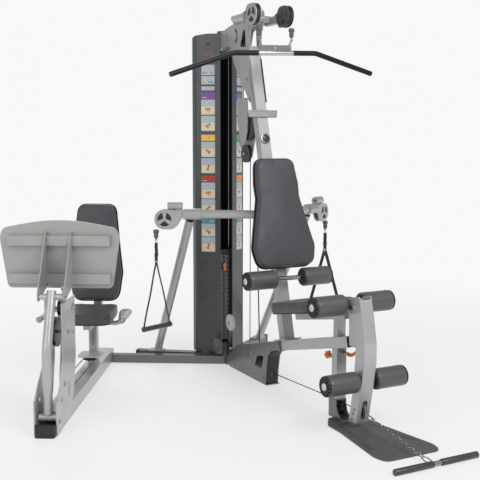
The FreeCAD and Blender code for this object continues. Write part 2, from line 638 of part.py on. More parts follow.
# ------------------------------------------------------------------ bars that hang or lie free
def build_lat_bar():
    y = -20
    drop = 1847
    half = 250
    tip = 612
    bar = bent_rod("lat_rod", [(-tip, y, drop - 112), (-half, y, drop), (half, y, drop), (tip, y,
                                                                                          drop - 112)],
                   90, size("bar_dia"))
    lug = plate("lat_lug", [([(-96, 12), (96, 12), (96, 42), (-96, 42)], 4)], 7,
                Placement(Vector(0, y, drop), FRONTWISE), circles=[(-84, 32, 5), (84, 32, 5), (0, 28, 4)])
    tilt = Rotation(UP, -2.5).multiply(Rotation(Vector(0, 1, 0), -2.0))
    centre = Vector(0, y, drop)
    place = Placement(centre, tilt).multiply(Placement(-centre, Rotation()))
    node("lat_bar", shifted(place, fuse("lat_bar_solid", [bar, lug])))
    links = []
    for side in (-1, 1):
        x = side * WHEEL_TOP[0]
        stop = turned("lat_stop", [(0, 0), (13, 0), (17, -14), (12, -44), (6, -50), (0, -50)],
                      Placement(Vector(x, y, 1984), Rotation(Vector(1, 0, 0), 90)))
        ring = bent_rod("lat_snap", [(x, y, 1938), (x, y, 1934)], 0, 8)
        hook_x = side * 84
        hook_y = y + 11 - side * 3.7
        snap = bent_rod("snap_loop", [(x - 9, y, 1930), (x + 9, y, 1930), (hook_x + 8, hook_y, 1874),
                                      (hook_x - 8, hook_y, 1874), (x - 9, y, 1928)], 3, 5)
        links.append(fuse("lat_link", [stop, ring, snap]))
    node("lat_links", group("lat_link_pair", links))


def build_row_bar():
    start = Vector(0, -897, 86)
    end = Vector(0, -1370, 17)
    run = (end - start)
    count = 14
    rings = []
    step = run.Length / count
    pitch_angle = math.degrees(math.atan2(run.z, -run.y))
    for i in range(count):
        centre = start + run * ((i + 0.5) / count)
        roll = 0 if i % 2 else 90
        outline = [(-step * 0.62, -9), (step * 0.62, -9), (step * 0.62, 9), (-step * 0.62, 9)]
        hole = [(-step * 0.62 + 5, -4), (step * 0.62 - 5, -4), (step * 0.62 - 5, 4), (-step * 0.62 + 5,
                                                                                      4)]
        turn = Rotation(UP, -90).multiply(Rotation(Vector(0, 1, 0),
                                                   -pitch_angle)).multiply(Rotation(Vector(1, 0, 0),
                                                                                    roll))
        rings.append(plate("chain_link", [(outline, 8.5), (hole, 3.8)], 5, Placement(centre, turn)))
    grip_y = -1388
    radius = size("row_bar_dia") / 2
    bar = bent_rod("row_rod", [(-203, grip_y, radius), (247, grip_y, radius)], 0, 2 * radius)
    node("row_bar", fuse("row_bar_solid", rings + [bar]))


# ------------------------------------------------------------------ pads, seat, rollers
def build_pads():
    turn = FRONTWISE.multiply(Rotation(Vector(1, 0, 0), -math.degrees(math.atan(LEAN))))
    spot = Vector(0, column_front(PAD_LOW) - PAD_STANDOFF, PAD_LOW)
    left = [(-108, 618), (-124, 480), (-121, 405), (-153, 265), (-183, 132), (-163, 30)]
    outline = left + [(-x, y) for x, y in reversed(left)]
    pad = plate("back_pad_block", [(outline, [50, 90, 90, 200, 90, 60, 60, 90, 200, 90, 90, 50])],
                "sheet.pad_thick", Placement(spot, turn), middle=False)
    node("back_pad", pad)

    seat_turn = Rotation(Vector(1, 0, 0), -math.degrees(math.atan(SEAT_SLOPE)))
    corner = Vector(0, -414, 467 + SEAT_SLOPE * 114 + 6)
    seat = plate("seat_block", [([(-160, -200), (160, -200), (150, 200), (-150, 200)], 50)],
                 "sheet.seat_thick",
                 Placement(corner, seat_turn), middle=False)
    node("seat_cushion", seat)
    rail = box("seat_rail", (50, 460, 38.7), (0, 0, 0))
    rail.Placement = Placement(corner, seat_turn).multiply(Placement(Vector(-25, -334, -39), Rotation()))
    post = box("seat_post", ("sheet.post_wide - 2 * sheet.wall - 2 * sheet.slide_gap",
                             "sheet.post_deep - 2 * sheet.wall - 2 * sheet.slide_gap", 355),
               (-23.5, -691, 170))
    node("seat_carriage", fuse("seat_carriage_solid", [rail, post]))
    star = plate("star_head",
                 [([(-8, -22), (8, -22), (22, -8), (22, 8), (8, 22), (-8, 22), (-22, 8), (-22, -8)], 6)],
                 16, Placement(Vector(0, -566, 305), FRONTWISE), middle=False)
    star_stem = cylinder("star_stem", 6, 66, (0, -582, 305), (0, -1, 0))
    node("star_knob", fuse("star_solid", [star, star_stem]))
    latch_rod = cylinder("latch_rod", 6, 78, (0, -697, 350), (0, -1, 0))
    latch_grip = plate("latch_grip", [([(-26, -12), (26, -12), (30, 10), (-30, 10)], 8)], 14,
                       Placement(Vector(0, -766, 350), FRONTWISE), middle=False)
    node("seat_latch", fuse("latch_solid", [latch_rod, latch_grip]))


ROLLER_SHAFTS = {"thigh": (-176, 637, 86, 264), "knee": (-774, 600, 52, 229), "ankle": (-888, 250, 52,
                                                                                        229)}


def build_rollers():
    for name, (y, z, inside, outside) in ROLLER_SHAFTS.items():
        items = []
        for side in (-1, 1):
            far = side * outside
            near = side * inside
            items.append(round_tube(name + "_foam", (near, y, z), (far, y, z), "sheet.roller_dia",
                                    "sheet.roller_bore"))
        node(name + "_rollers", group(name + "_roller_pair", items))
    shafts = []
    for name in ("thigh", "knee"):
        y, z, inside, outside = ROLLER_SHAFTS[name]
        shafts.append(cylinder(name + "_shaft", "sheet.shaft_dia / 2", 2 * outside + 8, (-outside - 4, y,
                                                                                         z), (1, 0, 0)))
    node("roller_shafts", group("fixed_shafts", shafts))


def build_developer():
    outer = [(-880, 655), (-905, 560), (-930, 440), (-932, 350), (-905, 190), (-874, 40),
             (-812, 34), (-842, 190), (-858, 350), (-862, 440), (-850, 520), (-812, 570), (-812, 640)]
    shell = plate("developer_shell", [(outer, [6, 0, 60, 60, 0, 4, 10, 0, 60, 30, 20, 10, 20])], 70,
                  Placement(Vector(), SIDEWAYS),
                  circles=[(-846, 82, 6), (-838, 52, 6)])
    inner = [(-878, 670), (-900, 560), (-924, 440), (-926, 350), (-899, 190), (-866, 20),
             (-780, 20), (-780, 670)]
    hollow = plate("developer_room", [(inner, 0)], 60, Placement(Vector(), SIDEWAYS))
    slot = plate("developer_slot", [([(-11, 62), (11, 62), (11, 152), (-11, 152)], 10.5)], 60,
                 Placement(Vector(0, -860, 0), FRONTWISE), middle=False)
    axle = cylinder("ankle_shaft", "sheet.shaft_dia / 2", 466, (-233, -888, 250), (1, 0, 0))
    channel = cut("developer_channel", shell, fuse("developer_tools", [hollow, slot]))
    pulley = wheel("developer_wheel", (0, -858, 105), (1, 0, 0), 40, 16, 6)
    bolt = cylinder("developer_bolt", 6, 76, (-38, -858, 105), (1, 0, 0))
    pivot = cylinder("developer_pivot", 9.9, 92, (-46, PIVOT[0], PIVOT[1]), (1, 0, 0))
    node("leg_developer", fuse("developer_solid", [channel, axle, pulley, bolt, pivot]))


# ------------------------------------------------------------------ leg press station
def build_leg_press():
    half = size("rail_wide") / 2
    rail = box_tube("rail_tube", (0, 8, 37.5), (0, 1400, 37.5), "rail_wide", "rail_tall")
    throat = box("rail_throat", (93, 130, 90), (-46.5, 0, 50))
    outline = [(0, 2), (0, 168), (18, 172), (66, 220), (132, 340), (132, 604), (382, 604), (382, 300),
               (330, 120), (260, 60), (60, 2)]
    slot = [(222, 130), (240, 130), (240, 200), (222, 200)]
    sides = []
    near_outline = [(226, y) if x == 132 else (x, y) for x, y in outline]
    for x, edge in ((-half - size("plate") - 0.2, near_outline), (half + 0.2, outline)):
        sides.append(shifted(PRESS_FRAME, plate("upright_plate", [(edge, 0), (slot, 8)], "sheet.plate",
                                                Placement(Vector(x, 0, 0), SIDEWAYS), middle=False,
                                                circles=[(90, 150, 14)])))
    spacers = [shifted(PRESS_FRAME, cylinder("upright_tie", 8.2, 100.6, (-50.3, y, z), (1, 0, 0)))
               for y, z, _ in UPRIGHT_WHEELS]
    node("leg_press_uprights", fuse("uprights_solid", sides + spacers))

    tube = bent_rod("swing_tube", [(0, 47, 92), (0, 45, 390), (0, 163, 662)], 220, size("swing_dia"),
                    size("swing_dia") - 2 * size("wall"))
    heel = cylinder("swing_heel", 17, 88, (-44, 47, 78), (1, 0, 0))
    crown = cylinder("swing_crown", 15, 118, (-59, 160, 635), (1, 0, 0))
    node("swing_arm", shifted(PRESS_FRAME, fuse("swing_solid", [tube, heel, crown])))

    panel = [(-262, 648), (-300, 900), (-286, 948), (0, 1002), (286, 948), (300, 900), (262, 648)]
    face = plate("foot_panel", [(panel, [26, 60, 40, 900, 40, 60, 26])], 14,
                 Placement(Vector(0, 344, 0), FRONTWISE), middle=False)
    extras = []
    for z in (862, 672):
        extras.append(box("stiffener", (510, 25, 50), (-255, 305, z)))
    ribs = []
    for x in (-66, 60):
        rib = [(150, 612), (178, 618), (329, 668), (329, 930), (300, 925), (230, 800), (140, 660), (138, 622)]
        ribs.append(plate("foot_rib", [(rib, [10, 0, 0, 4, 6, 60, 20, 8])], "sheet.plate",
                          Placement(Vector(x, 0, 0), SIDEWAYS), middle=False,
                          circles=[(160, 635, 8.2)]))
    node("foot_plate", shifted(PRESS_FRAME, fuse("foot_solid", [face] + extras + ribs)))

    post_low = box_tube("press_post", (0, 1060, 75.2), (0, 1060, 318), "post_deep", "post_wide")
    post_up = box_tube("press_back_post", (0, 1200, 318), (0, 1250, 860), "post_deep", "leg_wide")
    pan = box("press_pan", (180, 260, 8), (-90, 900, 336))
    pan_rail = box("press_pan_rail", (44, 330, 30), (-22, 890, 306))
    arms = []
    for side in (-1, 1):
        route = [(side * 20, 1010, 322), (side * 168, 1010, 322), (side * 178, 1010, 394),
                 (side * 228, 1010, 394), (side * 228, 735, 396)]
        arms.append(bent_rod("press_handle", route, [30, 20, 22], 26))
    gusset = plate("press_gusset_plate", [([(900, 310), (1035, 310), (1035, 180), (1014, 200), (950, 285)], 0)],
                   "sheet.plate", Placement(Vector(), SIDEWAYS))
    solid = fuse("seat_frame_solid", [post_low, post_up, pan, pan_rail, gusset] + arms)
    node("leg_press_seat_frame", shifted(PRESS_FRAME, solid))
    seat = plate("press_seat_block", [([(-152, 804), (152, 804), (140, 1150), (-140, 1150)], 48)],
                 "sheet.press_seat_thick", Placement(Vector(0, 0, 345), Rotation()), middle=False)
    node("leg_press_seat", shifted(PRESS_FRAME, seat))
    back = [(-105, 568), (-133, 300), (-150, 170), (-128, 10), (128, 10), (150, 170), (133, 300), (105, 568)]
    back_turn = FRONTWISE.multiply(Rotation(Vector(1, 0, 0), -math.degrees(math.atan(0.0764 * 1.9))))
    rest = plate("press_back_block", [(back, [45, 200, 120, 60, 60, 120, 200, 45])], "sheet.pad_thick",
                 Placement(Vector(0, 1150, 425), back_turn), middle=False)
    node("leg_press_back_pad", shifted(PRESS_FRAME, rest))
    deck = plate("rear_deck", [([(-64, 895), (64, 895), (64, 1030), (-64, 1030)], 22)], "sheet.plate",
                 Placement(Vector(0, 0, 145), Rotation()))
    stand = box("rear_deck_stand", (50, 20, 68), (-25, 1008, 75))
    solid = fuse("rail_solid", [cut("rail_cut", rail, throat), deck, stand])
    node("leg_press_rail", shifted(PRESS_FRAME, solid))

    base = Vector(38, 122, 108)
    top = Vector(38, 235, 665)
    eyes = [cylinder("link_eye", 13, 19.8, (30, base.y, base.z), (1, 0, 0)),
            cylinder("link_eye", 13, 16, (30, top.y, top.z), (1, 0, 0))]
    rod = round_tube("levelling_rod", base, top, "sheet.bolt_dia - 3", "0")
    node("levelling_link", shifted(PRESS_FRAME, fuse("levelling_solid", eyes + [rod])))


# ------------------------------------------------------------------ pulleys, cables, trim
def frame_wheel(name, spot, thick):
    return wheel(name, (0, spot[0], spot[1]), (1, 0, 0), spot[2], thick, 8.2)


def build_pulleys():
    node("crown_pulley", frame_wheel("crown_wheel", CROWN, 24))
    wheels = [frame_wheel("upper_wheel", UPPER, 18), frame_wheel("lower_wheel", LOWER, 18),
              frame_wheel("tower_wheel", TOWER, 20), frame_wheel("low_wheel", LOW, 18)]
    for y, z, radius in UPRIGHT_WHEELS:
        wheels.append(shifted(PRESS_FRAME, wheel("upright_wheel", (0, y, z), (1, 0, 0), radius, 16, 8.4)))
    wheels.append(shifted(PRESS_FRAME, wheel("deck_wheel", (0, 955, 126), (0, 0, 1), 38, 14, 6)))
    node("frame_pulleys", group("fixed_wheels", wheels))

    cheeks = []
    outline = [(172, 1490), (172, 1420), (232, 1400), (272, 1282), (322, 1258), (352, 1282), (432, 1356),
               (436, 1460), (430, 1566), (345, 1566), (300, 1500), (230, 1500)]
    cheeks.append(plate("block_cheek", [(outline, [4, 4, 30, 20, 20, 20, 20, 0, 8, 8, 30, 10])],
                        "sheet.plate",
                        Placement(Vector(14, 0, 0), SIDEWAYS), middle=False))
    near = [(272, 1620), (262, 1480), (268, 1425), (300, 1354), (345, 1354), (362, 1400), (386, 1480),
            (392, 1620)]
    cheeks.append(plate("block_near_cheek", [(near, [10, 20, 20, 14, 14, 20, 20, 10])], "sheet.plate",
                        Placement(Vector(-20, 0, 0), SIDEWAYS), middle=False))
    pins = [cylinder("block_pin", 8, 44, (-22, spot[0], spot[1]), (1, 0, 0)) for spot in (UPPER, LOWER)]
    node("pulley_block", fuse("block_solid", cheeks + pins))


def build_cables():
    """Every run that the frame holds all along its route."""
    across = size("cable_dia")
    tower_r = TOWER[2] + CABLE_OFFSET + 0.5
    crown_r = CROWN[2] + CABLE_OFFSET
    upper_r = UPPER[2] + CABLE_OFFSET
    lower_r = LOWER[2] + CABLE_OFFSET
    top_z = TOWER[1] + tower_r
    main = bent_rod("main_cable", [(0, TOWER[0] + tower_r, TOWER[1] + 0.3), (0, TOWER[0] + tower_r,
                                                                             top_z),
                                   (0, CROWN[0] - crown_r, CROWN[1] + crown_r),
                                   (0, UPPER[0] + upper_r, UPPER[1] - upper_r),
                                   (0, UPPER[0] - upper_r, UPPER[1] - upper_r),
                                   (0, UPPER[0] - upper_r, UPPER[1] + 30)],
                    [tower_r - 0.2, crown_r - 0.5, upper_r - 0.2, upper_r - 0.2], across)
    down = bent_rod("down_cable", [(0, LOWER[0] + lower_r, 153), (0, LOWER[0] + lower_r,
                                                                  LOWER[1] + lower_r),
                                   (0, LOWER[0] - lower_r, LOWER[1] + lower_r), (0, LOWER[0] - lower_r,
                                                                                 184)],
                    lower_r - 0.2, across)
    press = bent_rod("press_cable", [(0, 186, 1000), (0, 146, 214)], 0, 7)
    low = bent_rod("low_cable", [(0, -16, 68), (0, -600, 91), (0, -662, LOW[1] + LOW[2] - 2.2),
                                 (0, -812, 93)], [200, 90], across)
    station = bent_rod("station_cable", [(-34.8, 396, 126), (-34.8, 989.6, 126), (34.8, 989.6, 126),
                                         (34.8, 396, 126)], 34.6, across, 0, PRESS_FRAME)
    node("frame_cables", group("cable_runs", [main, down, press, low, station]))


BRACKET_BOLTS = ((171, 155), (171, 103), (158, 25), (26, 29), (-137, 263), (398, 22))
ARM_BOLTS = ((494, 1994), (205, 2000), (232, 1722), (199, 1609))
UPRIGHT_BOLTS = ((345, 560), (345, 425), (150, 210), (40, 60))


def bolt(spots, half_width):
    """Bolt heads on both sides of a part that is half_width from the centre plane."""
    heads = []
    for y, z in spots:
        for side in (-1, 1):
            heads.append(cylinder("bolt_head", "sheet.bolt_dia / 2", "sheet.bolt_head",
                                  (side * (half_width + 0.2), y, z), (side, 0, 0)))
    return heads


def build_trim():
    heads = bolt(BRACKET_BOLTS, size("bracket_wide") / 2) + bolt(ARM_BOLTS, 38.3)
    heads += [shifted(PRESS_FRAME, head) for head in bolt(UPRIGHT_BOLTS, 56.2)]
    node("frame_bolts", group("bolt_heads", heads))
    turn = FRONTWISE.multiply(Rotation(Vector(1, 0, 0), -math.degrees(math.atan(LEAN))))
    bar = plate("blank_bar", [([(-88, -21), (88, -21), (96, 21), (-96, 21)], 3)], 8,
                Placement(Vector(0, column_front(1524) - 0.6, 1524), turn), middle=False)
    ring = plate("blank_badge", [], 9, Placement(Vector(0, column_front(1388) - 0.6, 1388), turn),
                 middle=False,
                 circles=[(0, 0, 30)])
    node("column_plates", group("blank_plates", [bar, ring]))


build_base()
build_front()
build_column()
build_top()
build_stack()
build_press_arms()
build_top_heads()
build_press_heads()
build_lat_bar()
build_row_bar()
build_pads()
build_rollers()
build_developer()
build_leg_press()
build_pulleys()
build_cables()
build_trim()
doc.recompute()

# ------------------------------------------------------------------ checks and export
failed = [item.Name for item in doc.Objects if "Invalid" in item.State or "Error" in item.State]
if failed:
    raise SystemExit("failed objects: %s" % failed)
for name, thing in NODES.items():
    if thing.Shape.isNull() or not thing.Shape.isValid():
        raise SystemExit("bad shape: " + name)
os.makedirs("parts", exist_ok=True)
for name, thing in NODES.items():
    thing.Shape.exportStep("parts/%s.step" % name)
print(len(NODES), "nodes written")
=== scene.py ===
import math

import bmesh
import bpy
from mathutils import Matrix, Vector


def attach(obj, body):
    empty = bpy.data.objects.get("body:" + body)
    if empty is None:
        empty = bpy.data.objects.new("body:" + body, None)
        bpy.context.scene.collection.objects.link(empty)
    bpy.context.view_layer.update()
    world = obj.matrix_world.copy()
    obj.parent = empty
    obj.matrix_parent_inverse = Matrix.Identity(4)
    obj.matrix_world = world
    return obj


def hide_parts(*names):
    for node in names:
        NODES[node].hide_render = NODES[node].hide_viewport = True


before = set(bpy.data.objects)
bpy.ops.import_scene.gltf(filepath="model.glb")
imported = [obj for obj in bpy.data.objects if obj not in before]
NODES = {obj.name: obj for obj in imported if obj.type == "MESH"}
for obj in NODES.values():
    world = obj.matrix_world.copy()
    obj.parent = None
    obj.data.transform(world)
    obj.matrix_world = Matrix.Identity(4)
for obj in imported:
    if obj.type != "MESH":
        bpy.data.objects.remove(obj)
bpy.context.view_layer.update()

# ------------------------------------------------------------------ the CAD's own frames, in metres
LEAN = 0.262                                     # the column leans back by this slope
SEAT_SLOPE = 0.198
PRESS_BACK_LEAN = 0.0764 * 1.9
SIDEWAYS = Matrix(((0, 0, 1), (1, 0, 0), (0, 1, 0))).to_4x4()      # x, y lie along Y, Z; z along X
FRONTWISE = Matrix(((1, 0, 0), (0, 0, -1), (0, 1, 0))).to_4x4()    # x, y lie along X, Z; z along -Y
PRESS_FRAME = Matrix.Translation((-1.363, -0.26, 0)) @ Matrix.Rotation(math.radians(-30), 4, "Z")


def column_front(z):
    """Y of the column's front face at height z."""
    return -0.195 + LEAN * (z - 0.3)


# ------------------------------------------------------------------ procedural materials
class Shader:
    """A small writer of material node trees round one Principled shader."""

    def __init__(self, name, **inputs):
        self.material = bpy.data.materials.new(name)
        self.material.use_nodes = True
        self.tree = self.material.node_tree
        self.principled = self.tree.nodes["Principled BSDF"]
        for key, value in inputs.items():
            self.principled.inputs[key.replace("_", " ")].default_value = value
        self.place = self.add("ShaderNodeTexCoord").outputs["Object"]

    def add(self, kind, **settings):
        node = self.tree.nodes.new(kind)
        for key, value in settings.items():
            setattr(node, key, value)
        return node

    def join(self, source, target):
        self.tree.links.new(source, target)

    def noise(self, scale, detail=3.0, stretch=None):
        node = self.add("ShaderNodeTexNoise")
        node.inputs["Scale"].default_value = scale
        node.inputs["Detail"].default_value = detail
        source = self.place
        if stretch is not None:
            mapping = self.add("ShaderNodeMapping")
            mapping.inputs["Scale"].default_value = stretch
            self.join(self.place, mapping.inputs["Vector"])
            source = mapping.outputs["Vector"]
        self.join(source, node.inputs["Vector"])
        return node.outputs["Fac"]

    def spread(self, value, low, high, new_low, new_high):
        node = self.add("ShaderNodeMapRange")
        for key, number in (("From Min", low), ("From Max", high), ("To Min", new_low),
                            ("To Max", new_high)):
            node.inputs[key].default_value = number
        self.join(value, node.inputs["Value"])
        return node.outputs["Result"]

    def drift(self, scale, detail, low=0.0, high=1.0):
        """Slow noise carried from low to high."""
        return self.spread(self.noise(scale, detail), 0.3, 0.7, low, high)

    def shades(self, mask, colour, dark, light):
        """One colour running from dark to light times its own strength."""
        return self.mix(mask, scaled(colour, dark), scaled(colour, light))

    def maths(self, operation, first, second):
        node = self.add("ShaderNodeMath", operation=operation)
        for socket, value in zip(node.inputs, (first, second)):
            if isinstance(value, (int, float)):
                socket.default_value = value
            else:
                self.join(value, socket)
        return node.outputs[0]

    def mix(self, factor, first, second):
        node = self.add("ShaderNodeMix", data_type="RGBA")
        self.join(factor, node.inputs["Factor"])
        for socket, value in ((node.inputs[6], first), (node.inputs[7], second)):
            if isinstance(value, tuple):
                socket.default_value = (*value, 1)
            else:
                self.join(value, socket)
        return node.outputs[2]

    def edges(self, radius):
        """0 on flat faces, rising to 1 along edges within radius; also the rounded normal."""
        bevel = self.add("ShaderNodeBevel", samples=4)
        bevel.inputs["Radius"].default_value = radius
        geometry = self.add("ShaderNodeNewGeometry")
        dot = self.add("ShaderNodeVectorMath", operation="DOT_PRODUCT")
        self.join(bevel.outputs["Normal"], dot.inputs[0])
        self.join(geometry.outputs["Normal"], dot.inputs[1])
        return self.spread(dot.outputs["Value"], 0.995, 0.9, 0.0, 1.0), bevel.outputs["Normal"]

    def bump(self, height, strength, distance, normal=None):
        node = self.add("ShaderNodeBump")
        node.inputs["Strength"].default_value = strength
        node.inputs["Distance"].default_value = distance
        self.join(height, node.inputs["Height"])
        if normal is not None:
            self.join(normal, node.inputs["Normal"])
        self.join(node.outputs["Normal"], self.principled.inputs["Normal"])

    def finish(self, colour, roughness):
        self.join(colour, self.principled.inputs["Base Color"])
        self.join(roughness, self.principled.inputs["Roughness"])
        return self.material


def scaled(colour, factor):
    """A colour made lighter or darker by factor."""
    return tuple(min(1.0, channel * factor) for channel in colour)


def painted(name, colour, roughness, metallic, wear, orange_peel=0.25, edge=0.0016, coat=0.3):
    """Sprayed paint: faint mottle, orange peel, rounded edges rubbed lighter."""
    shader = Shader(name, Metallic=metallic, Coat_Weight=coat, Coat_Roughness=0.12)
    mottle = shader.drift(9, 4)
    base = shader.shades(mottle, colour, 0.95, 1.05)
    edge_mask, rounded = shader.edges(edge)
    rub = shader.maths("MULTIPLY", edge_mask, shader.spread(shader.noise(60, 5), 0.45, 0.62, 0.0, wear))
    dust = shader.spread(shader.noise(230, 4), 0.66, 0.84, 0.0, 0.1)
    dusty = shader.mix(dust, base, scaled(colour, 1.35))
    worn = shader.mix(rub, dusty, scaled(colour, 2.0))
    rough = shader.drift(34, 5, roughness * 0.9, roughness * 1.12)
    shader.bump(shader.noise(900, 2), orange_peel, 0.0002, rounded)
    return shader.finish(worn, rough)


MOULDED_EDGE = 0.0012                            # shaded rounding of edges, in metres
METAL_EDGE = 0.0008


def moulded(name, colour, roughness, grain=1500, strength=0.35, coat=0.0):
    """Injection moulded plastic with a fine spark-eroded grain."""
    shader = Shader(name, Coat_Weight=coat, Coat_Roughness=0.15)
    tone = shader.drift(14, 4)
    base = shader.shades(tone, colour, 0.88, 1.12)
    edge_mask, rounded = shader.edges(MOULDED_EDGE)
    rub = shader.maths("MULTIPLY", edge_mask, 0.35)
    worn = shader.mix(rub, base, scaled(colour, 1.9))
    rough = shader.drift(55, 5, roughness * 0.85, roughness * 1.2)
    shader.bump(shader.noise(grain, 2), strength, 0.00015, rounded)
    return shader.finish(worn, rough)


def vinyl(name, colour):
    """Upholstery vinyl: pebbled grain, painted shade in its crevices, soft sheen, slight scuffs."""
    shader = Shader(name, Sheen_Weight=0.15, Sheen_Roughness=0.5, Coat_Weight=0.06, Coat_Roughness=0.35)
    cells = shader.add("ShaderNodeTexVoronoi")
    cells.inputs["Scale"].default_value = 620
    shader.join(shader.place, cells.inputs["Vector"])
    pebble = shader.spread(cells.outputs["Distance"], 0.0, 0.7, 1.0, 0.0)
    tone = shader.drift(7, 4)
    base = shader.shades(tone, colour, 0.88, 1.12)
    # painted shade: the crevices between pebbles are darkened to 0.6 of the colour
    crevice_shaded = shader.mix(pebble, scaled(colour, 0.6), base)
    rough = shader.drift(26, 5, 0.4, 0.56)
    wrinkle = shader.maths("MULTIPLY", shader.noise(22, 3), 0.8)
    shader.bump(shader.maths("ADD", pebble, wrinkle), 0.3, 0.0004)
    return shader.finish(crevice_shaded, rough)


def foam(name, colour):
    """Closed cell foam: open speckle of cells with painted shade in the pores, and a dull skin."""
    shader = Shader(name, Coat_Weight=0.55, Coat_Roughness=0.24)
    pores = shader.spread(shader.noise(1700, 3), 0.38, 0.6, 0.0, 1.0)
    tone = shader.drift(12, 4)
    base = shader.shades(tone, colour, 0.9, 1.1)
    # painted shade: the pores, sunk by the bump, are darkened to 0.72 of the colour
    pore_shaded = shader.mix(pores, scaled(colour, 0.72), base)
    rough = shader.drift(40, 4, 0.42, 0.56)
    shader.bump(shader.maths("ADD", pores, shader.noise(120, 3)), 0.35, 0.0004)
    return shader.finish(pore_shaded, rough)


def metal(name, colour, roughness, brushed=None):
    """Plated or brushed steel; brushed is the stretch of the brush marks."""
    shader = Shader(name, Metallic=1.0)
    tone = shader.drift(18, 4)
    base = shader.shades(tone, colour, 0.9, 1.06)
    marks = shader.noise(420, 3, brushed or (1, 1, 1))
    rough = shader.spread(marks, 0.3, 0.7, roughness * 0.7, roughness * 1.35)
    _, rounded = shader.edges(METAL_EDGE)
    shader.bump(marks, 0.12 if brushed else 0.04, 0.0002, rounded)
    return shader.finish(base, rough)


def webbing(name, colour):
    """Flat woven strap: crossed ribs of yarn, with painted highlights on their crests and painted shade
    between them.
    """
    shader = Shader(name, Sheen_Weight=0.4, Sheen_Roughness=0.4)
    bands = []
    for direction in ("X", "Z"):
        wave = shader.add("ShaderNodeTexWave", bands_direction=direction)
        wave.inputs["Scale"].default_value = 170
        shader.join(shader.place, wave.inputs["Vector"])
        bands.append(wave.outputs["Fac"])
    weave = shader.maths("MULTIPLY", bands[0], bands[1])
    fuzz = shader.drift(900, 3)
    # painted light: yarn crests lighter and the gaps between them darker, using the same weave as the
    # bump
    base = shader.shades(weave, colour, 0.55, 1.5)
    fuzzy = shader.mix(shader.maths("MULTIPLY", fuzz, 0.4), base, scaled(colour, 2.0))
    shader.bump(weave, 0.6, 0.0006)
    return shader.finish(fuzzy, shader.spread(fuzz, 0.0, 1.0, 0.75, 0.92))


def cast(name, colour):
    """Painted cast plates with a pitted skin."""
    shader = Shader(name, Metallic=0.2)
    pits = shader.noise(260, 5)
    base = shader.mix(shader.drift(16, 4), scaled(colour, 0.8), scaled(colour, 1.25))
    edge_mask, rounded = shader.edges(0.0015)
    worn = shader.mix(shader.maths("MULTIPLY", edge_mask, 0.5), base, scaled(colour, 2.6))
    shader.bump(pits, 0.5, 0.0005, rounded)
    return shader.finish(worn, shader.spread(pits, 0.3, 0.7, 0.42, 0.62))


def coated_bar(name, tube, bright, ends):
    """A black coated bar whose middle, between ends on X, is left bright."""
    shader = Shader(name, Metallic=1.0)
    axis = shader.add("ShaderNodeSeparateXYZ")
    shader.join(shader.place, axis.inputs[0])
    low = shader.spread(axis.outputs["X"], ends[0] - 0.001, ends[0] + 0.001, 0.0, 1.0)
    high = shader.spread(axis.outputs["X"], ends[1] - 0.001, ends[1] + 0.001, 1.0, 0.0)
    middle = shader.maths("MULTIPLY", low, high)
    scuffs = shader.spread(shader.noise(300, 4), 0.35, 0.7, 0.0, 1.0)
    dark = shader.mix(scuffs, scaled(tube, 0.85), scaled(tube, 1.4))
    rough = shader.maths("SUBTRACT", shader.spread(scuffs, 0.0, 1.0, 0.34, 0.46),
                         shader.maths("MULTIPLY", middle, 0.24))
    shader.bump(shader.noise(1200, 2), 0.2, 0.0002)
    return shader.finish(shader.mix(middle, dark, bright), rough)


def printed(name, colour):
    """A printed vinyl label."""
    return painted(name, colour, 0.34, 0.0, 0.0, orange_peel=0.1, edge=0.0002, coat=0.2)


SILVER = painted("silver_paint", (0.4, 0.405, 0.41), 0.34, 0.45, 0.25)
PALE_SILVER = painted("pale_silver_paint", (0.46, 0.465, 0.47), 0.36, 0.4, 0.25)
FOOT_SILVER = painted("foot_plate_paint", (0.37, 0.365, 0.355), 0.44, 0.25, 0.4, orange_peel=0.5,
                      coat=0.1)
GUNMETAL = painted("gunmetal_paint", (0.165, 0.162, 0.158), 0.3, 0.45, 0.3, orange_peel=0.05, coat=0.25)
GRAPHITE = moulded("graphite_shroud", (0.05, 0.053, 0.058), 0.34, grain=1100, coat=0.15)
BLACK_PLASTIC = moulded("black_plastic", (0.016, 0.016, 0.018), 0.4)
GREY_PLASTIC = moulded("grey_plastic", (0.085, 0.087, 0.092), 0.46)
# ribs of the black roller caps in a lighter grey: a painted highlight on the ribs of one moulding
CAP_RIB_HIGHLIGHT = moulded("cap_rib_highlight", (0.04, 0.04, 0.042), 0.3, coat=0.3)
STOP_GREY = moulded("stop_plastic", (0.09, 0.1, 0.112), 0.38)
NYLON = moulded("pulley_nylon", (0.014, 0.014, 0.016), 0.3, coat=0.2)
COVER_GREY = moulded("cover_plastic", (0.58, 0.58, 0.57), 0.36)
CAP_PALE = moulded("cap_pale", (0.66, 0.66, 0.65), 0.3)
# near-black paint for the right top head only, whose left twin is silver: painted shade on that head
SHADED_HEAD_PAINT = painted("shaded_head_paint", (0.048, 0.048, 0.05), 0.3, 0.1, 0.3)
DISC_GREY = moulded("disc_plastic", (0.105, 0.104, 0.102), 0.38)
ORANGE = moulded("orange_grip", (0.78, 0.17, 0.02), 0.28, coat=0.35)
VINYL = vinyl("charcoal_vinyl", (0.068, 0.071, 0.08))
FOAM = foam("grey_foam", (0.09, 0.088, 0.097))
DARK_FOAM = foam("dark_foam", (0.04, 0.038, 0.036))
CHROME = metal("bright_chrome", (0.38, 0.39, 0.4), 0.2)
BRUSHED = metal("brushed_steel", (0.27, 0.27, 0.28), 0.42, brushed=(1, 1, 12))
IRON = cast("weight_iron", (0.04, 0.041, 0.044))
WEIGHT_GREY = painted("weight_face", (0.15, 0.15, 0.148), 0.42, 0.2, 0.2)
WEBBING = webbing("black_webbing", (0.02, 0.02, 0.022))
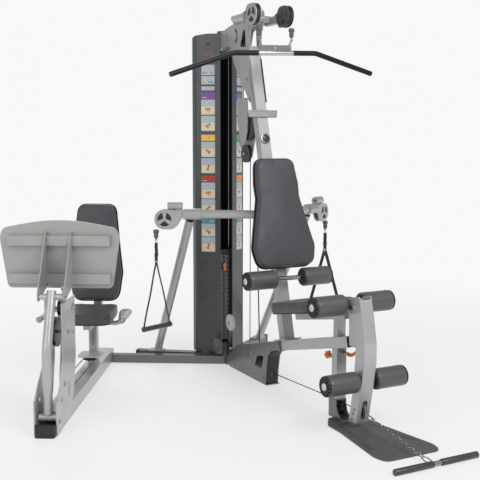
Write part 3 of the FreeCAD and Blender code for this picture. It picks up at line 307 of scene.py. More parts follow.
STITCH = moulded("stitch_thread", (0.1, 0.1, 0.105), 0.6)
CABLE = moulded("cable_jacket", (0.012, 0.012, 0.013), 0.35)
BADGE_RED = moulded("badge_red", (0.16, 0.008, 0.012), 0.22, grain=300, strength=0.05, coat=0.6)
GRIP_PALE = moulded("pale_grip", (0.52, 0.5, 0.47), 0.42)
LABEL_WHITE = printed("label_white", (0.7, 0.7, 0.68))
LABEL_BLUE = printed("label_pale_blue", (0.42, 0.47, 0.5))
LABEL_CREAM = printed("label_cream", (0.74, 0.6, 0.43))
LABEL_BROWN = printed("label_brown", (0.23, 0.07, 0.045))
LABEL_MAROON = printed("label_maroon", (0.13, 0.045, 0.05))
LAT_BLACK = coated_bar("lat_bar_coat", (0.03, 0.03, 0.033), (0.5, 0.51, 0.52), (-0.105, 0.105))

NODE_FINISH = {SILVER: ["spine_column", "pulley_block", "top_arm", "press_crossbar", "brace_tubes",
                        "front_post", "left_top_head", "left_press_head", "right_press_head",
                        "seat_carriage", "leg_press_seat_frame"],
               PALE_SILVER: ["seat_beam", "front_hanger", "leg_developer", "leg_press_uprights",
                             "swing_arm", "levelling_link", "leg_press_rail"],
               GUNMETAL: ["main_bracket", "tower_base", "rear_legs", "link_beam", "low_pulley_bracket"],
               SHADED_HEAD_PAINT: ["right_top_head"], FOOT_SILVER: ["foot_plate"],
               GRAPHITE: ["left_shroud", "right_shroud"], BLACK_PLASTIC: ["black_covers", "foot_caps"],
               GREY_PLASTIC: ["foot_platform"],
               NYLON: ["left_top_wheel", "right_top_wheel", "left_press_wheel", "right_press_wheel",
                       "crown_pulley", "frame_pulleys"],
               ORANGE: ["selector_pin", "star_knob", "seat_latch"],
               CHROME: ["guide_rods", "roller_shafts", "lat_links", "frame_bolts"],
               BRUSHED: ["column_plates"], LAT_BLACK: ["lat_bar"],
               IRON: ["resting_weights", "lifted_weights", "weight_head"],
               CABLE: ["stack_cable", "frame_cables"],}
for finish_material, names in NODE_FINISH.items():
    for node_name in names:
        thing = NODES[node_name]
        if not thing.material_slots:
            thing.data.materials.append(finish_material)
        for material_slot in thing.material_slots:
            material_slot.material = finish_material


# ------------------------------------------------------------------ mesh helpers
def from_bmesh(name, mesh, material, place=None, smooth=True):
    data = bpy.data.meshes.new(name)
    mesh.to_mesh(data)
    mesh.free()
    item = bpy.data.objects.new(name, data)
    bpy.context.collection.objects.link(item)
    data.materials.append(material)
    for face in data.polygons:
        face.use_smooth = smooth
    if place is not None:
        data.transform(place)
    return item


def applied(item):
    """Replaces an object's mesh by its evaluated one and drops its modifiers."""
    graph = bpy.context.evaluated_depsgraph_get()
    data = bpy.data.meshes.new_from_object(item.evaluated_get(graph))
    item.modifiers.clear()
    item.data = data
    return item


def softened(item, width, segments=3):
    """Rounds every edge of a piece sharper than about 29 degrees."""
    bevel = item.modifiers.new("bevel", "BEVEL")
    bevel.width = width
    bevel.segments = segments
    bevel.limit_method = "ANGLE"
    bevel.angle_limit = 0.5
    item.modifiers.new("weighted", "WEIGHTED_NORMAL").keep_sharp = True
    return applied(item)


def merged(name, items):
    """One object holding the meshes of several, each face keeping its material."""
    result = bmesh.new()
    materials = []
    for item in items:
        start = len(result.faces)
        result.from_mesh(item.data)
        result.faces.ensure_lookup_table()
        index_map = []
        for material in item.data.materials:
            if material not in materials:
                materials.append(material)
            index_map.append(materials.index(material))
        for face in result.faces[start:]:
            face.material_index = index_map[min(face.material_index, len(index_map) - 1)]
        bpy.data.objects.remove(item)
    data = bpy.data.meshes.new(name)
    result.to_mesh(data)
    result.free()
    for material in materials:
        data.materials.append(material)
    joined = bpy.data.objects.new(name, data)
    bpy.context.collection.objects.link(joined)
    return joined


def rounded_outline(points, radii, steps=6):
    """Corner-rounded closed outline as a list of (x, y)."""
    result = []
    count = len(points)
    for i in range(count):
        here = Vector(points[i])
        radius = radii[i] if isinstance(radii, (list, tuple)) else radii
        if radius <= 0:
            result.append(tuple(here))
            continue
        before = (Vector(points[i - 1]) - here).normalized()
        after = (Vector(points[(i + 1) % count]) - here).normalized()
        half = before.angle(after) / 2
        reach = radius / math.tan(half)
        start = here + before * reach
        end = here + after * reach
        for k in range(steps + 1):
            t = k / steps
            result.append(tuple(start.lerp(here, t).lerp(here.lerp(end, t), t)))
    return result


def slab(name, outline, thick, material, place, edge=0.0, low=0.0):
    """A plate of an outline in its own XY plane, from z = low to low + thick."""
    mesh = bmesh.new()
    bottom = [mesh.verts.new((x, y, low)) for x, y in outline]
    face = mesh.faces.new(bottom)
    raised = bmesh.ops.extrude_face_region(mesh, geom=[face])
    tops = [part for part in raised["geom"] if isinstance(part, bmesh.types.BMVert)]
    bmesh.ops.translate(mesh, verts=tops, vec=(0, 0, thick))
    bmesh.ops.recalc_face_normals(mesh, faces=mesh.faces)
    item = from_bmesh(name, mesh, material, place, smooth=False)
    if edge > 0:
        softened(item, edge)
    return item


def block(name, sizes, centre, material, place=None, edge=0.001):
    """A box with rounded edges round a centre."""
    x, y, z = (value / 2 for value in sizes)
    spot = Matrix.Translation(centre)
    return slab(name, [(-x, -y), (x, -y), (x, y), (-x, y)], 2 * z, material, (place or Matrix()) @ spot,
                edge, low=-z)


def lathe(name, profile, material, place, around=48, caps=True):
    """Turns a profile [(radius, height), ...] about its own Z."""
    mesh = bmesh.new()
    rings = []
    for radius, height in profile:
        rings.append([mesh.verts.new((radius * math.cos(2 * math.pi * k / around),
                                      radius * math.sin(2 * math.pi * k / around),
                                      height)) for k in range(around)])
    for lower, upper in zip(rings, rings[1:]):
        for k in range(around):
            mesh.faces.new((lower[k], lower[(k + 1) % around], upper[(k + 1) % around], upper[k]))
    if caps:
        mesh.faces.new(list(reversed(rings[0])))
        mesh.faces.new(rings[-1])
    bmesh.ops.recalc_face_normals(mesh, faces=mesh.faces)
    item = from_bmesh(name, mesh, material, place)
    item.data.set_sharp_from_angle(angle=0.6)
    return item


def along_x(centre, side=1):
    """A placement whose Z runs along side * X."""
    return Matrix.Translation(centre) @ Matrix.Rotation(side * math.pi / 2, 4, "Y")


def tube(name, points, radius, material, closed=False, smooth_path=True, resolution=8, ring=6):
    """A round tube along points, as a mesh."""
    curve = bpy.data.curves.new(name, "CURVE")
    curve.dimensions = "3D"
    spline = curve.splines.new("NURBS" if smooth_path else "POLY")
    spline.points.add(len(points) - 1)
    for point, spot in zip(spline.points, points):
        point.co = (*spot, 1)
    spline.use_cyclic_u = closed
    if smooth_path:
        spline.order_u = 3
        spline.use_endpoint_u = not closed
    curve.resolution_u = resolution
    curve.bevel_depth = radius
    curve.bevel_resolution = ring
    curve.use_fill_caps = not closed
    curve_item = bpy.data.objects.new(name, curve)
    bpy.context.collection.objects.link(curve_item)
    graph = bpy.context.evaluated_depsgraph_get()
    data = bpy.data.meshes.new_from_object(curve_item.evaluated_get(graph))
    bpy.data.objects.remove(curve_item)
    data.materials.clear()
    data.materials.append(material)
    for face in data.polygons:
        face.use_smooth = True
    item = bpy.data.objects.new(name, data)
    bpy.context.collection.objects.link(item)
    return item


# ------------------------------------------------------------------ upholstered pads
def inflate(item, cap, flat_below):
    """Swells a closed mesh by a short cloth run; vertices under flat_below keep to the board."""
    data = item.data
    rest = [vertex.co.copy() for vertex in data.vertices]
    pinned = [vertex.index for vertex in data.vertices if vertex.co.z < flat_below]
    group = item.vertex_groups.new(name="board")
    group.add(pinned, 1.0, "REPLACE")
    cloth = item.modifiers.new("cloth", "CLOTH")
    settings = cloth.settings
    settings.quality = 5
    settings.mass = 0.3
    settings.tension_stiffness = 12
    settings.compression_stiffness = 12
    settings.shear_stiffness = 6
    settings.bending_stiffness = 0.6
    settings.use_pressure = True
    settings.uniform_pressure_force = 4.0
    settings.effector_weights.gravity = 0.0
    settings.vertex_group_mass = "board"
    cloth.point_cache.frame_start = 1
    cloth.point_cache.frame_end = 20
    for step in range(1, 21):
        bpy.context.scene.frame_set(step)
    applied(item)
    bpy.context.scene.frame_set(1)
    moves = [vertex.co - start for vertex, start in zip(item.data.vertices, rest)]
    share = min(1.0, cap / max(move.length for move in moves))
    for vertex, start, move in zip(item.data.vertices, rest, moves):
        vertex.co = start + move * share
    return item


def shrunk(outline, margin):
    """Pulls a counter-clockwise outline inwards by margin along its corner normals."""
    result = []
    count = len(outline)
    for i, spot in enumerate(outline):
        before = Vector(outline[i - 1])
        after = Vector(outline[(i + 1) % count])
        direction = (after - before).normalized()
        result.append((spot[0] - direction.y * margin, spot[1] + direction.x * margin))
    return result


SEAM_HEIGHT = 0.62                               # share of a pad's thickness
SEAM_REACH = 0.0035                              # above and below the seam line
SEAM_DEPTH = 0.0018


def pad(name, outline, thick, place, node, body):
    """An upholstered pad on a board, with a sewn seam and piping round its side."""
    inner = shrunk(outline, 0.006)
    cover = slab(name, inner, thick - 0.013, VINYL, None, edge=0.011, low=0.005)
    remesh = cover.modifiers.new("remesh", "REMESH")
    remesh.mode = "VOXEL"
    remesh.voxel_size = 0.0055
    applied(cover)
    inflate(cover, 0.009, 0.012)
    smooth = cover.modifiers.new("smooth", "SMOOTH")
    smooth.iterations = 3
    cover.modifiers.new("subdivision", "SUBSURF").levels = 1
    applied(cover)
    height = SEAM_HEIGHT * thick
    for vertex in cover.data.vertices:
        vertex.co.z = min(vertex.co.z, thick + 0.001)
        gap = abs(vertex.co.z - height)
        if gap < SEAM_REACH:
            pull = SEAM_DEPTH * (1 - gap / SEAM_REACH)
            vertex.co -= Vector((vertex.normal.x, vertex.normal.y, 0)) * pull
    for face in cover.data.polygons:
        face.use_smooth = True
    board = slab(name + "_board", shrunk(outline, 0.012), 0.006, BLACK_PLASTIC, None, edge=0.0015)
    for item in (cover, board):
        item.data.transform(place)
        if not item.data.materials:
            item.data.materials.append(VINYL)
        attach(item, body)
    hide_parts(node)
    return cover


def leaning(slope):
    """The turn that leans a placement back by slope."""
    return Matrix.Rotation(-math.atan(slope), 4, "X")


def mirrored(half, radii, corners):
    """A symmetrical outline from its left half, listed from the top down, with its corner radii."""
    points = half + [(-x, y) for x, y in reversed(half)]
    points.reverse()
    return rounded_outline(points, radii, corners)


def build_pads():
    """The back pad, the seat and the two pads of the leg press."""
    half = [(-0.108, 0.618), (-0.124, 0.48), (-0.121, 0.405), (-0.153, 0.265), (-0.183, 0.132),
            (-0.163, 0.03)]
    radii = [0.05, 0.09, 0.09, 0.2, 0.09, 0.06, 0.06, 0.09, 0.2, 0.09, 0.09, 0.05]
    place = Matrix.Translation((0, column_front(0.668) - 0.042, 0.668)) @ FRONTWISE @ leaning(LEAN)
    pad("back_pad_cover", mirrored(half, radii, 8), 0.058, place, "back_pad", "frame")

    seat = rounded_outline([(-0.16, -0.2), (0.16, -0.2), (0.15, 0.2), (-0.15, 0.2)], 0.05, 8)
    place = Matrix.Translation((0, -0.414, 0.473 + SEAT_SLOPE * 0.114)) @ leaning(SEAT_SLOPE)
    pad("seat_cover", seat, 0.07, place, "seat_cushion", "seat")

    seat = rounded_outline([(-0.152, 0.804), (0.152, 0.804), (0.14, 1.15), (-0.14, 1.15)],
                           [0.085, 0.085, 0.048, 0.048], 8)
    pad("press_seat_cover", seat, 0.073, PRESS_FRAME @ Matrix.Translation((0, 0, 0.345)),
        "leg_press_seat", "frame")
    half = [(-0.105, 0.568), (-0.133, 0.3), (-0.15, 0.17), (-0.128, 0.01)]
    radii = [0.045, 0.2, 0.12, 0.06, 0.06, 0.12, 0.2, 0.045]
    place = PRESS_FRAME @ Matrix.Translation((0, 1.15, 0.425)) @ FRONTWISE @ leaning(PRESS_BACK_LEAN)
    pad("press_back_cover", mirrored(half, radii, 8), 0.058, place, "leg_press_back_pad", "frame")


ROLLER_PAIRS = (("thigh", -0.176, 0.637, 0.086, 0.178), ("knee", -0.774, 0.6, 0.052, 0.177),
                ("ankle", -0.888, 0.25, 0.052, 0.177))
ROLLER_SKIN = [(0.014, 0.0), (0.043, 0.0), (0.0475, 0.0012), (0.05, 0.0045), (0.0507, 0.01),
               (0.0503, 0.045), (0.05, 0.085), (0.0503, 0.13), (0.0507, 0.15), (0.05, 0.1555),
               (0.0475, 0.1588), (0.043, 0.16), (0.014, 0.16)]
ROLLER_CAP = [(0.0145, 0.0), (0.0485, 0.0003), (0.0492, 0.003), (0.048, 0.0068), (0.045, 0.008),
              (0.0435, 0.0035), (0.026, 0.0035), (0.025, 0.0095), (0.0145, 0.0095)]
ROLLER_INNER_CAP = [(0.0145, -0.004), (0.04, -0.004), (0.042, -0.001), (0.042, 0.001), (0.0145, 0.001)]
ROLLER_DOME = [(0.017, 0.009), (0.017, 0.0125), (0.015, 0.015), (0.0105, 0.0165), (0.0052, 0.0168),
               (0.0046, 0.0135), (0.001, 0.0134)]


def build_rollers():
    """Three pairs of foam rollers, each with a ribbed outer cap, a pale dome and a thin inner cap."""
    for name, y, z, inside, length in ROLLER_PAIRS:
        end = length - 0.012
        foams = []
        trims = []
        for side in (-1, 1):
            place = along_x((side * inside, y, z), side)
            outer = place @ Matrix.Translation((0, 0, end))
            skin = [(radius, height * end / 0.16) for radius, height in ROLLER_SKIN]
            foams.append(lathe(name + "_foam", skin, FOAM, place, 64))
            trims.append(lathe(name + "_cap", ROLLER_CAP, BLACK_PLASTIC, outer, 48))
            # the ribs get a lighter grey than their cap as painted highlights
            for k in range(14):
                turn = Matrix.Rotation(2 * math.pi * k / 14, 4, "Z")
                trims.append(block(name + "_rib", (0.02, 0.0046, 0.0055), (0.0345, 0, 0.0055), CAP_RIB_HIGHLIGHT,
                                   outer @ turn, 0.0012))
            trims.append(lathe(name + "_inner_cap", ROLLER_INNER_CAP, BLACK_PLASTIC, place, 48))
            trims.append(lathe(name + "_dome", ROLLER_DOME, CAP_PALE, outer, 32))
        cover = merged(name + "_roller_foam", foams)
        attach(cover, name)
        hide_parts(name + "_rollers")
        trim = merged(name + "_roller_trim", trims)
        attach(trim, name)


# ------------------------------------------------------------------ printed labels
def facing(origin, out):
    """A placement at origin with Z along out and Y as near to upright as it can be."""
    ahead = Vector(out).normalized()
    across = Vector((0, 0, 1)).cross(ahead).normalized()
    upward = ahead.cross(across)
    return Matrix.Translation(origin) @ Matrix((across, upward, ahead)).transposed().to_4x4()


def panel(name, width, low, high, lift, thick, material, place, radius=0.005, shift=0.0):
    """A thin rounded rectangle lying on a face."""
    half = width / 2
    corners = [(shift - half, low), (shift + half, low), (shift + half, high), (shift - half, high)]
    return slab(name, rounded_outline(corners, radius, 4), thick, material, place, low=lift)


HEADERS = {"left": ((0.15, 0.05, 0.3), (0.8, 0.5, 0.05), (0.42, 0.025, 0.02), (0.1, 0.28, 0.3)),
           "right": ((0.02, 0.2, 0.42), (0.09, 0.38, 0.14), (0.8, 0.25, 0.04), (0.05, 0.3, 0.35))}
HEADER_HEIGHTS = ((1.624, 1.664), (1.373, 1.41), (1.121, 1.161), (0.872, 0.902))
TILE_HEIGHTS = ((1.53, 1.621), (1.432, 1.524), (1.274, 1.368), (1.176, 1.268), (1.021, 1.119),
                (0.93, 1.018), (0.787, 0.868), (0.692, 0.784))
INDEX_HEIGHTS = ((1.767, 1.828), (1.712, 1.761), (1.676, 1.7))


CHIP_COLOURS = ((0.42, 0.03, 0.02), (0.09, 0.38, 0.14), (0.8, 0.5, 0.05), (0.02, 0.2, 0.42))
CHIP_PAINTS = [printed("chip_%d" % number, colour) for number, colour in enumerate(CHIP_COLOURS)]


def barbell(place, low, turn, material):
    """A generic picture of a bar with two discs above a stand."""
    spin = place @ Matrix.Translation((0, low, 0)) @ Matrix.Rotation(turn, 4, "Z")
    items = [panel("icon_bar", 0.034, -0.0018, 0.0018, 0.0015, 0.0003, material, spin, 0.0015)]
    for side in (-1, 1):
        items.append(panel("icon_disc", 0.005, -0.009, 0.009, 0.0015, 0.0004, material, spin, 0.002,
                           side * 0.012))
    items.append(panel("icon_stand", 0.005, low - 0.018, low + 0.008, 0.0015, 0.0003, material, place,
                       0.002))
    return items


def build_placards():
    """Blank exercise labels with generic pictures, on the front face of each shroud."""
    for name, side, along, width in (("left", -1, 0.076, 0.086), ("right", 1, 0.096, 0.08)):
        face = facing((side * (0.0415 + 0.788 * along), 0.573 + 0.616 * along, 0),
                      (side * 0.616, -0.788, 0))
        items = []

        def card(kind, wide, low, high, material, radius):
            items.append(panel(kind, wide, low, high, 0.0002, 0.001, material, face, radius))

        def print_on(kind, wide, low, high, material, radius, shift=0.0):
            items.append(panel(kind, wide, low, high, 0.0012, 0.0003, material, face, radius, shift))

        def ruled(kind, wide, low, high, radius, shift=0.0):
            items.append(panel(kind, wide, low, high, 0.0002, 0.0008, LABEL_MAROON, face, radius, shift))

        for number, (low, high) in enumerate(HEADER_HEIGHTS):
            paint = printed("%s_header_%d" % (name, number), HEADERS[name][number])
            card("header", width, low, high, paint, 0.006)
            print_on("header_dot", 0.008, low + 0.015, low + 0.023, LABEL_BROWN, 0.0035,
                     0.004 if number % 2 else -0.01)
            print_on("header_line", 0.026, low + 0.008, low + 0.011, LABEL_WHITE, 0.0012,
                     0.02 if number % 2 else -0.022)
        for number, (low, high) in enumerate(TILE_HEIGHTS):
            card("tile", width, low, high, LABEL_BLUE, 0.005)
            print_on("tile_ground", width * 0.93, low + 0.004, low + 0.55 * (high - low), LABEL_CREAM,
                     0.004)
            items += barbell(face, low + 0.38 * (high - low), (0.0, 0.5, -0.5, 1.2)[number % 4],
                             LABEL_BROWN)
        for number, (low, high) in enumerate(INDEX_HEIGHTS):
            card("index", width * 0.94, low, high, LABEL_BLUE, 0.002)
            for column in range(4 if number < 2 else 0):
                print_on("chip", 0.012, low + 0.01, low + 0.017, CHIP_PAINTS[(column + number) % 4],
                         0.001, -0.026 + 0.0165 * column)
        for low, high in ((1.6695, 1.671), (1.9085, 1.91)):
            ruled("border", width * 1.08, low, high, 0.0006)
        for shift in (-0.54, 0.54):
            ruled("border", 0.0015, 1.67, 1.9095, 0.0006, shift * width)
        ruled("title", width * 0.9, 1.88, 1.902, 0.003)
        placards = merged(name + "_placards", items)
        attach(placards, "frame")
    face = facing((-0.0415 - 0.788 * 0.076, 0.573 + 0.616 * 0.076, 1.95), (-0.616, -0.788, 0))
    ellipse = [(0.013 * math.cos(k * math.pi / 16), 0.009 * math.sin(k * math.pi / 16))
               for k in range(32)]
    oval = slab("shroud_plug", ellipse, 0.002, BLACK_PLASTIC, face, 0.0006, low=0.0002)
    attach(oval, "frame")


def build_weight_labels():
    """A grey front face on each plate, with a dark diamond round its pin hole and a dark disc as painted
    shade in the hole.
    """
    diamond = [(0.0125, 0.0), (0.0, 0.0105), (-0.0125, 0.0), (0.0, -0.0105)]
    ring = [(0.006 * math.cos(math.pi * k / 12), 0.006 * math.sin(math.pi * k / 12)) for k in range(24)]
    for name, body, first, last in (("resting", "frame", 0, 17), ("lifted", "weights", 17, 20)):
        items = []
        for number in range(first, last):
            place = facing((0, 0.612, 0.143 + 0.027 * number), (0, -1, 0))
            items.append(panel("plate_face", 0.074, -0.0112, 0.0112, 0.0001, 0.0004, WEIGHT_GREY, place,
                               0.001))
            items.append(slab("diamond", rounded_outline(diamond, 0.001, 3), 0.0003, BLACK_PLASTIC, place,
                              low=0.0005))
            # a dark disc over the pin hole: painted shade inside the hole
            items.append(slab("pin_hole_shade", ring, 0.0003, NYLON, place, low=0.0008))
        labels = merged(name + "_labels", items)
        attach(labels, body)


# ------------------------------------------------------------------ name bar, badge, column edge
NAME_BAR_Z = 1.524
BADGE_Z = 1.388
EDGE_STRIP_Z = 1.59


def build_column_trim():
    """The blank name bar, the badge with three plain blades, and the black strip on the edge."""
    def on_column(z, lift=0.0):
        return Matrix.Translation((0, column_front(z) - 0.0006 - lift, z)) @ FRONTWISE @ leaning(LEAN)

    bar = [(-0.088, -0.021), (0.088, -0.021), (0.096, 0.021), (-0.096, 0.021)]
    plate_face = slab("bar_face", rounded_outline(bar, 0.003, 4), 0.008, BRUSHED, on_column(NAME_BAR_Z),
                      0.0012)
    rim = [slab("bar_rim", rounded_outline(shrunk(bar, 0.004), 0.002, 4), 0.0012, CHROME,
                on_column(NAME_BAR_Z, 0.008))]
    inset = slab("bar_inset", rounded_outline(shrunk(bar, 0.006), 0.002, 4), 0.0008, BRUSHED,
                 on_column(NAME_BAR_Z, 0.009))
    ring = lathe("badge_ring", [(0.021, 0.0004), (0.03, 0.0004), (0.0302, 0.005), (0.0285, 0.0088),
                                (0.025, 0.0092), (0.0215, 0.007), (0.0205, 0.004)], CHROME,
                 on_column(BADGE_Z), 64, caps=False)
    core = lathe("badge_core",
                 [(0.021, 0.0006), (0.021, 0.0036), (0.017, 0.005), (0.009, 0.0058), (0.001, 0.006)],
                 BLACK_PLASTIC, on_column(BADGE_Z), 48)
    blades = []
    for number in range(3):
        turn = Matrix.Rotation(number * 2.094 + 0.5, 4, "Z")
        outline = rounded_outline([(0.003, -0.003), (0.017, -0.006), (0.018, 0.004), (0.004, 0.003)],
                                  0.001, 3)
        paint = BADGE_RED if number != 1 else CHROME
        blades.append(slab("badge_blade", outline, 0.001, paint, on_column(BADGE_Z) @ turn, low=0.0055))
    trim = merged("blank_plates", [plate_face, inset, ring, core] + rim + blades)
    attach(trim, "frame")
    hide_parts("column_plates")
    run = 0.255
    strip = block("column_edge_strip", (0.007, run, 0.014), (0.0345, run / 2, -0.002), BLACK_PLASTIC,
                  on_column(EDGE_STRIP_Z), 0.0015)
    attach(strip, "frame")


# ------------------------------------------------------------------ bolts
def hex_head(place, radius=0.008, height=0.0055):
    """A dished button head with a hexagon socket, on a washer."""
    items = [lathe("washer",
                   [(0.0035, 0.0), (radius * 1.25, 0.0), (radius * 1.25, 0.0012), (radius, 0.0014)],
                   BRUSHED, place, 24)]
    items.append(lathe("button", [(radius, 0.0012), (radius, height * 0.45),
                                  (radius * 0.85, height * 0.85), (radius * 0.5, height),
                                  (radius * 0.42, height)], CHROME, place, 24, caps=False))
    socket = [(radius * 0.42 * math.cos(k * math.pi / 3), radius * 0.42 * math.sin(k * math.pi / 3))
              for k in range(6)]
    items.append(slab("socket", socket, height * 0.4, BLACK_PLASTIC, place, low=height * 0.35))
    return items


BRACKET_BOLTS = ((0.171, 0.155), (0.171, 0.103), (0.158, 0.025), (0.026, 0.029), (-0.137, 0.263),
                 (0.398, 0.022))
ARM_BOLTS = ((0.494, 1.994), (0.205, 2.0), (0.232, 1.722), (0.199, 1.609))
UPRIGHT_BOLTS = ((0.345, 0.56), (0.345, 0.425), (0.15, 0.21), (0.04, 0.06))


def build_bolts():
    """Bolt heads on both sides of the bracket, the top arm and the leg press uprights."""
    items = []
    sets = ((BRACKET_BOLTS, 0.0422, Matrix()), (ARM_BOLTS, 0.0385, Matrix()),
            (UPRIGHT_BOLTS, 0.0564, PRESS_FRAME))
    for spots, reach, frame_place in sets:
        for y, z in spots:
            for side in (-1, 1):
                items += hex_head(frame_place @ along_x((side * reach, y, z), side))
    heads = merged("bolt_heads", items)
    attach(heads, "frame")
    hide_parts("frame_bolts")


# ------------------------------------------------------------------ cable stops, snap links, handles
def stop_body(place):
    """A tapered cable stop with grip grooves and a plated ferrule, hanging along its own -Z."""
    profile = [(0.0065, -0.052), (0.0085, -0.05), (0.0112, -0.045)]
    for groove in range(3):
        z = -0.04 + groove * 0.007
        profile += [(0.0128, z), (0.0118, z + 0.002), (0.0118, z + 0.0035), (0.0135, z + 0.005)]
    profile += [(0.0168, -0.016), (0.0165, -0.01), (0.0138, -0.0005), (0.01, 0.0)]
    cap = [(0.003, -0.06), (0.0055, -0.06), (0.006, -0.052), (0.003, -0.051)]
    return [lathe("stop_body", profile, STOP_GREY, place, 40),
            lathe("stop_ferrule", cap, CHROME, place, 28)]


def oval_link(name, top, bottom, half, wire, material, normal):
    """A closed oval of wire from top to bottom, half wide to each side, lying across normal."""
    top = Vector(top)
    bottom = Vector(bottom)
    run = (bottom - top).normalized()
    across = run.cross(Vector(normal)).normalized()
    points = []
    for k in range(16):
        angle = 2 * math.pi * (k + 0.5) / 16
        along = math.copysign(1, math.cos(angle)) * abs(math.cos(angle)) ** 0.65
        middle = (top + bottom) / 2
        points.append(middle - run * along * (bottom - top).length / 2 + across * half * math.sin(angle))
    return tube(name, points, wire, material, closed=True, resolution=6, ring=3)


def build_lat_links():
    """Stops, rings and snap links that carry the lat bar."""
    items = []
    for side in (-1, 1):
        x = side * 0.1
        y = -0.02
        hook = (side * 0.084, -0.02 - side * 0.0037, 1.879 + side * 0.003)
        items += stop_body(Matrix.Translation((x, y, 1.984)))
        items.append(oval_link("eye", (x, y, 1.928), (x, y, 1.912), 0.007, 0.0018, CHROME, (0, 1, 0)))
        items.append(oval_link("snap", (x, y, 1.92), (hook[0], hook[1], hook[2] - 0.004), 0.0085, 0.0026,
                               CHROME, (1, 0, 0)))
        gate_top = Vector((x, y + 0.008, 1.91))
        items.append(tube("gate", [gate_top, Vector(hook) + Vector((0, 0.008, 0.014))], 0.0022, BRUSHED,
                          smooth_path=False))
    links = merged("lat_snap_links", items)
    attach(links, "lat")
    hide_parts("lat_links")


def press_wheel(side):
    """Centre of a press wheel, the direction of its tube and the direction of its axle."""
    out = Vector((side * 0.857, 0.515, 0))
    centre = Vector((side * 0.388, 0.223, 0.969)) + out * 0.155 + Vector((0, 0, -0.03))
    return centre, out, Vector((0, 0, 1)).cross(out)


def sectors(place, outer):
    """Three dark sectors between the spokes of a cheek, reaching to the radius outer; they stand for
    openings, dark for the black wheel behind and as painted shade inside.
    """
    items = []
    for number in range(3):
        middle = math.pi / 6 + number * 2 * math.pi / 3
        angles = [middle + math.radians(42) * (k / 6 - 1) for k in range(13)]
        rim = [(outer * math.cos(angle), outer * math.sin(angle)) for angle in angles]
        hub = [(0.011 * math.cos(angle), 0.011 * math.sin(angle)) for angle in reversed(angles[3:10])]
        items.append(slab("sector", rim + hub, 0.0005, BLACK_PLASTIC, place, low=0.0002))
    return items


def build_head_openings():
    """Dark sectors on both cheeks of every pulley head."""
    for name, sign in (("left", -1), ("right", 1)):
        items = []
        for side in (-1, 1):
            centre = Vector((sign * 0.1 + side * 0.017, 0.041, 2.054))
            items += sectors(facing(centre, (side, 0, 0)), 0.041)
        top = merged(name + "_top_openings", items)
        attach(top, name + "_top")
        centre, _, axle = press_wheel(sign)
        across = axle.normalized()
        items = []
        for side in (-1, 1):
            items += sectors(facing(centre + across * side * 0.017, across * side), 0.039)
        press = merged(name + "_press_openings", items)
        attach(press, name + "_press")


def strap_run(name, start, end, width, across, material=None):
    """A flat band from start to end, with a slight sag in its thickness."""
    start = Vector(start)
    end = Vector(end)
    run = end - start
    across = (Vector(across) - run.normalized() * Vector(across).dot(run.normalized())).normalized()
    normal = run.cross(across).normalized()
    mesh = bmesh.new()
    rows = []
    for k in range(13):
        t = k / 12
        centre = start + run * t + normal * 0.0012 * math.sin(3 * math.pi * t)
        rows.append([mesh.verts.new(centre + across * side * width / 2 + normal * lift * 0.0011) for side,
                     lift in ((-1, -1), (1, -1), (1, 1), (-1, 1))])
    for upper, lower in zip(rows, rows[1:]):
        for k in range(4):
            mesh.faces.new((upper[k], upper[(k + 1) % 4], lower[(k + 1) % 4], lower[k]))
    mesh.faces.new(list(reversed(rows[0])))
    mesh.faces.new(rows[-1])
    bmesh.ops.recalc_face_normals(mesh, faces=mesh.faces)
    item = from_bmesh(name, mesh, material or WEBBING, smooth=False)
    return softened(item, 0.0006, 2)


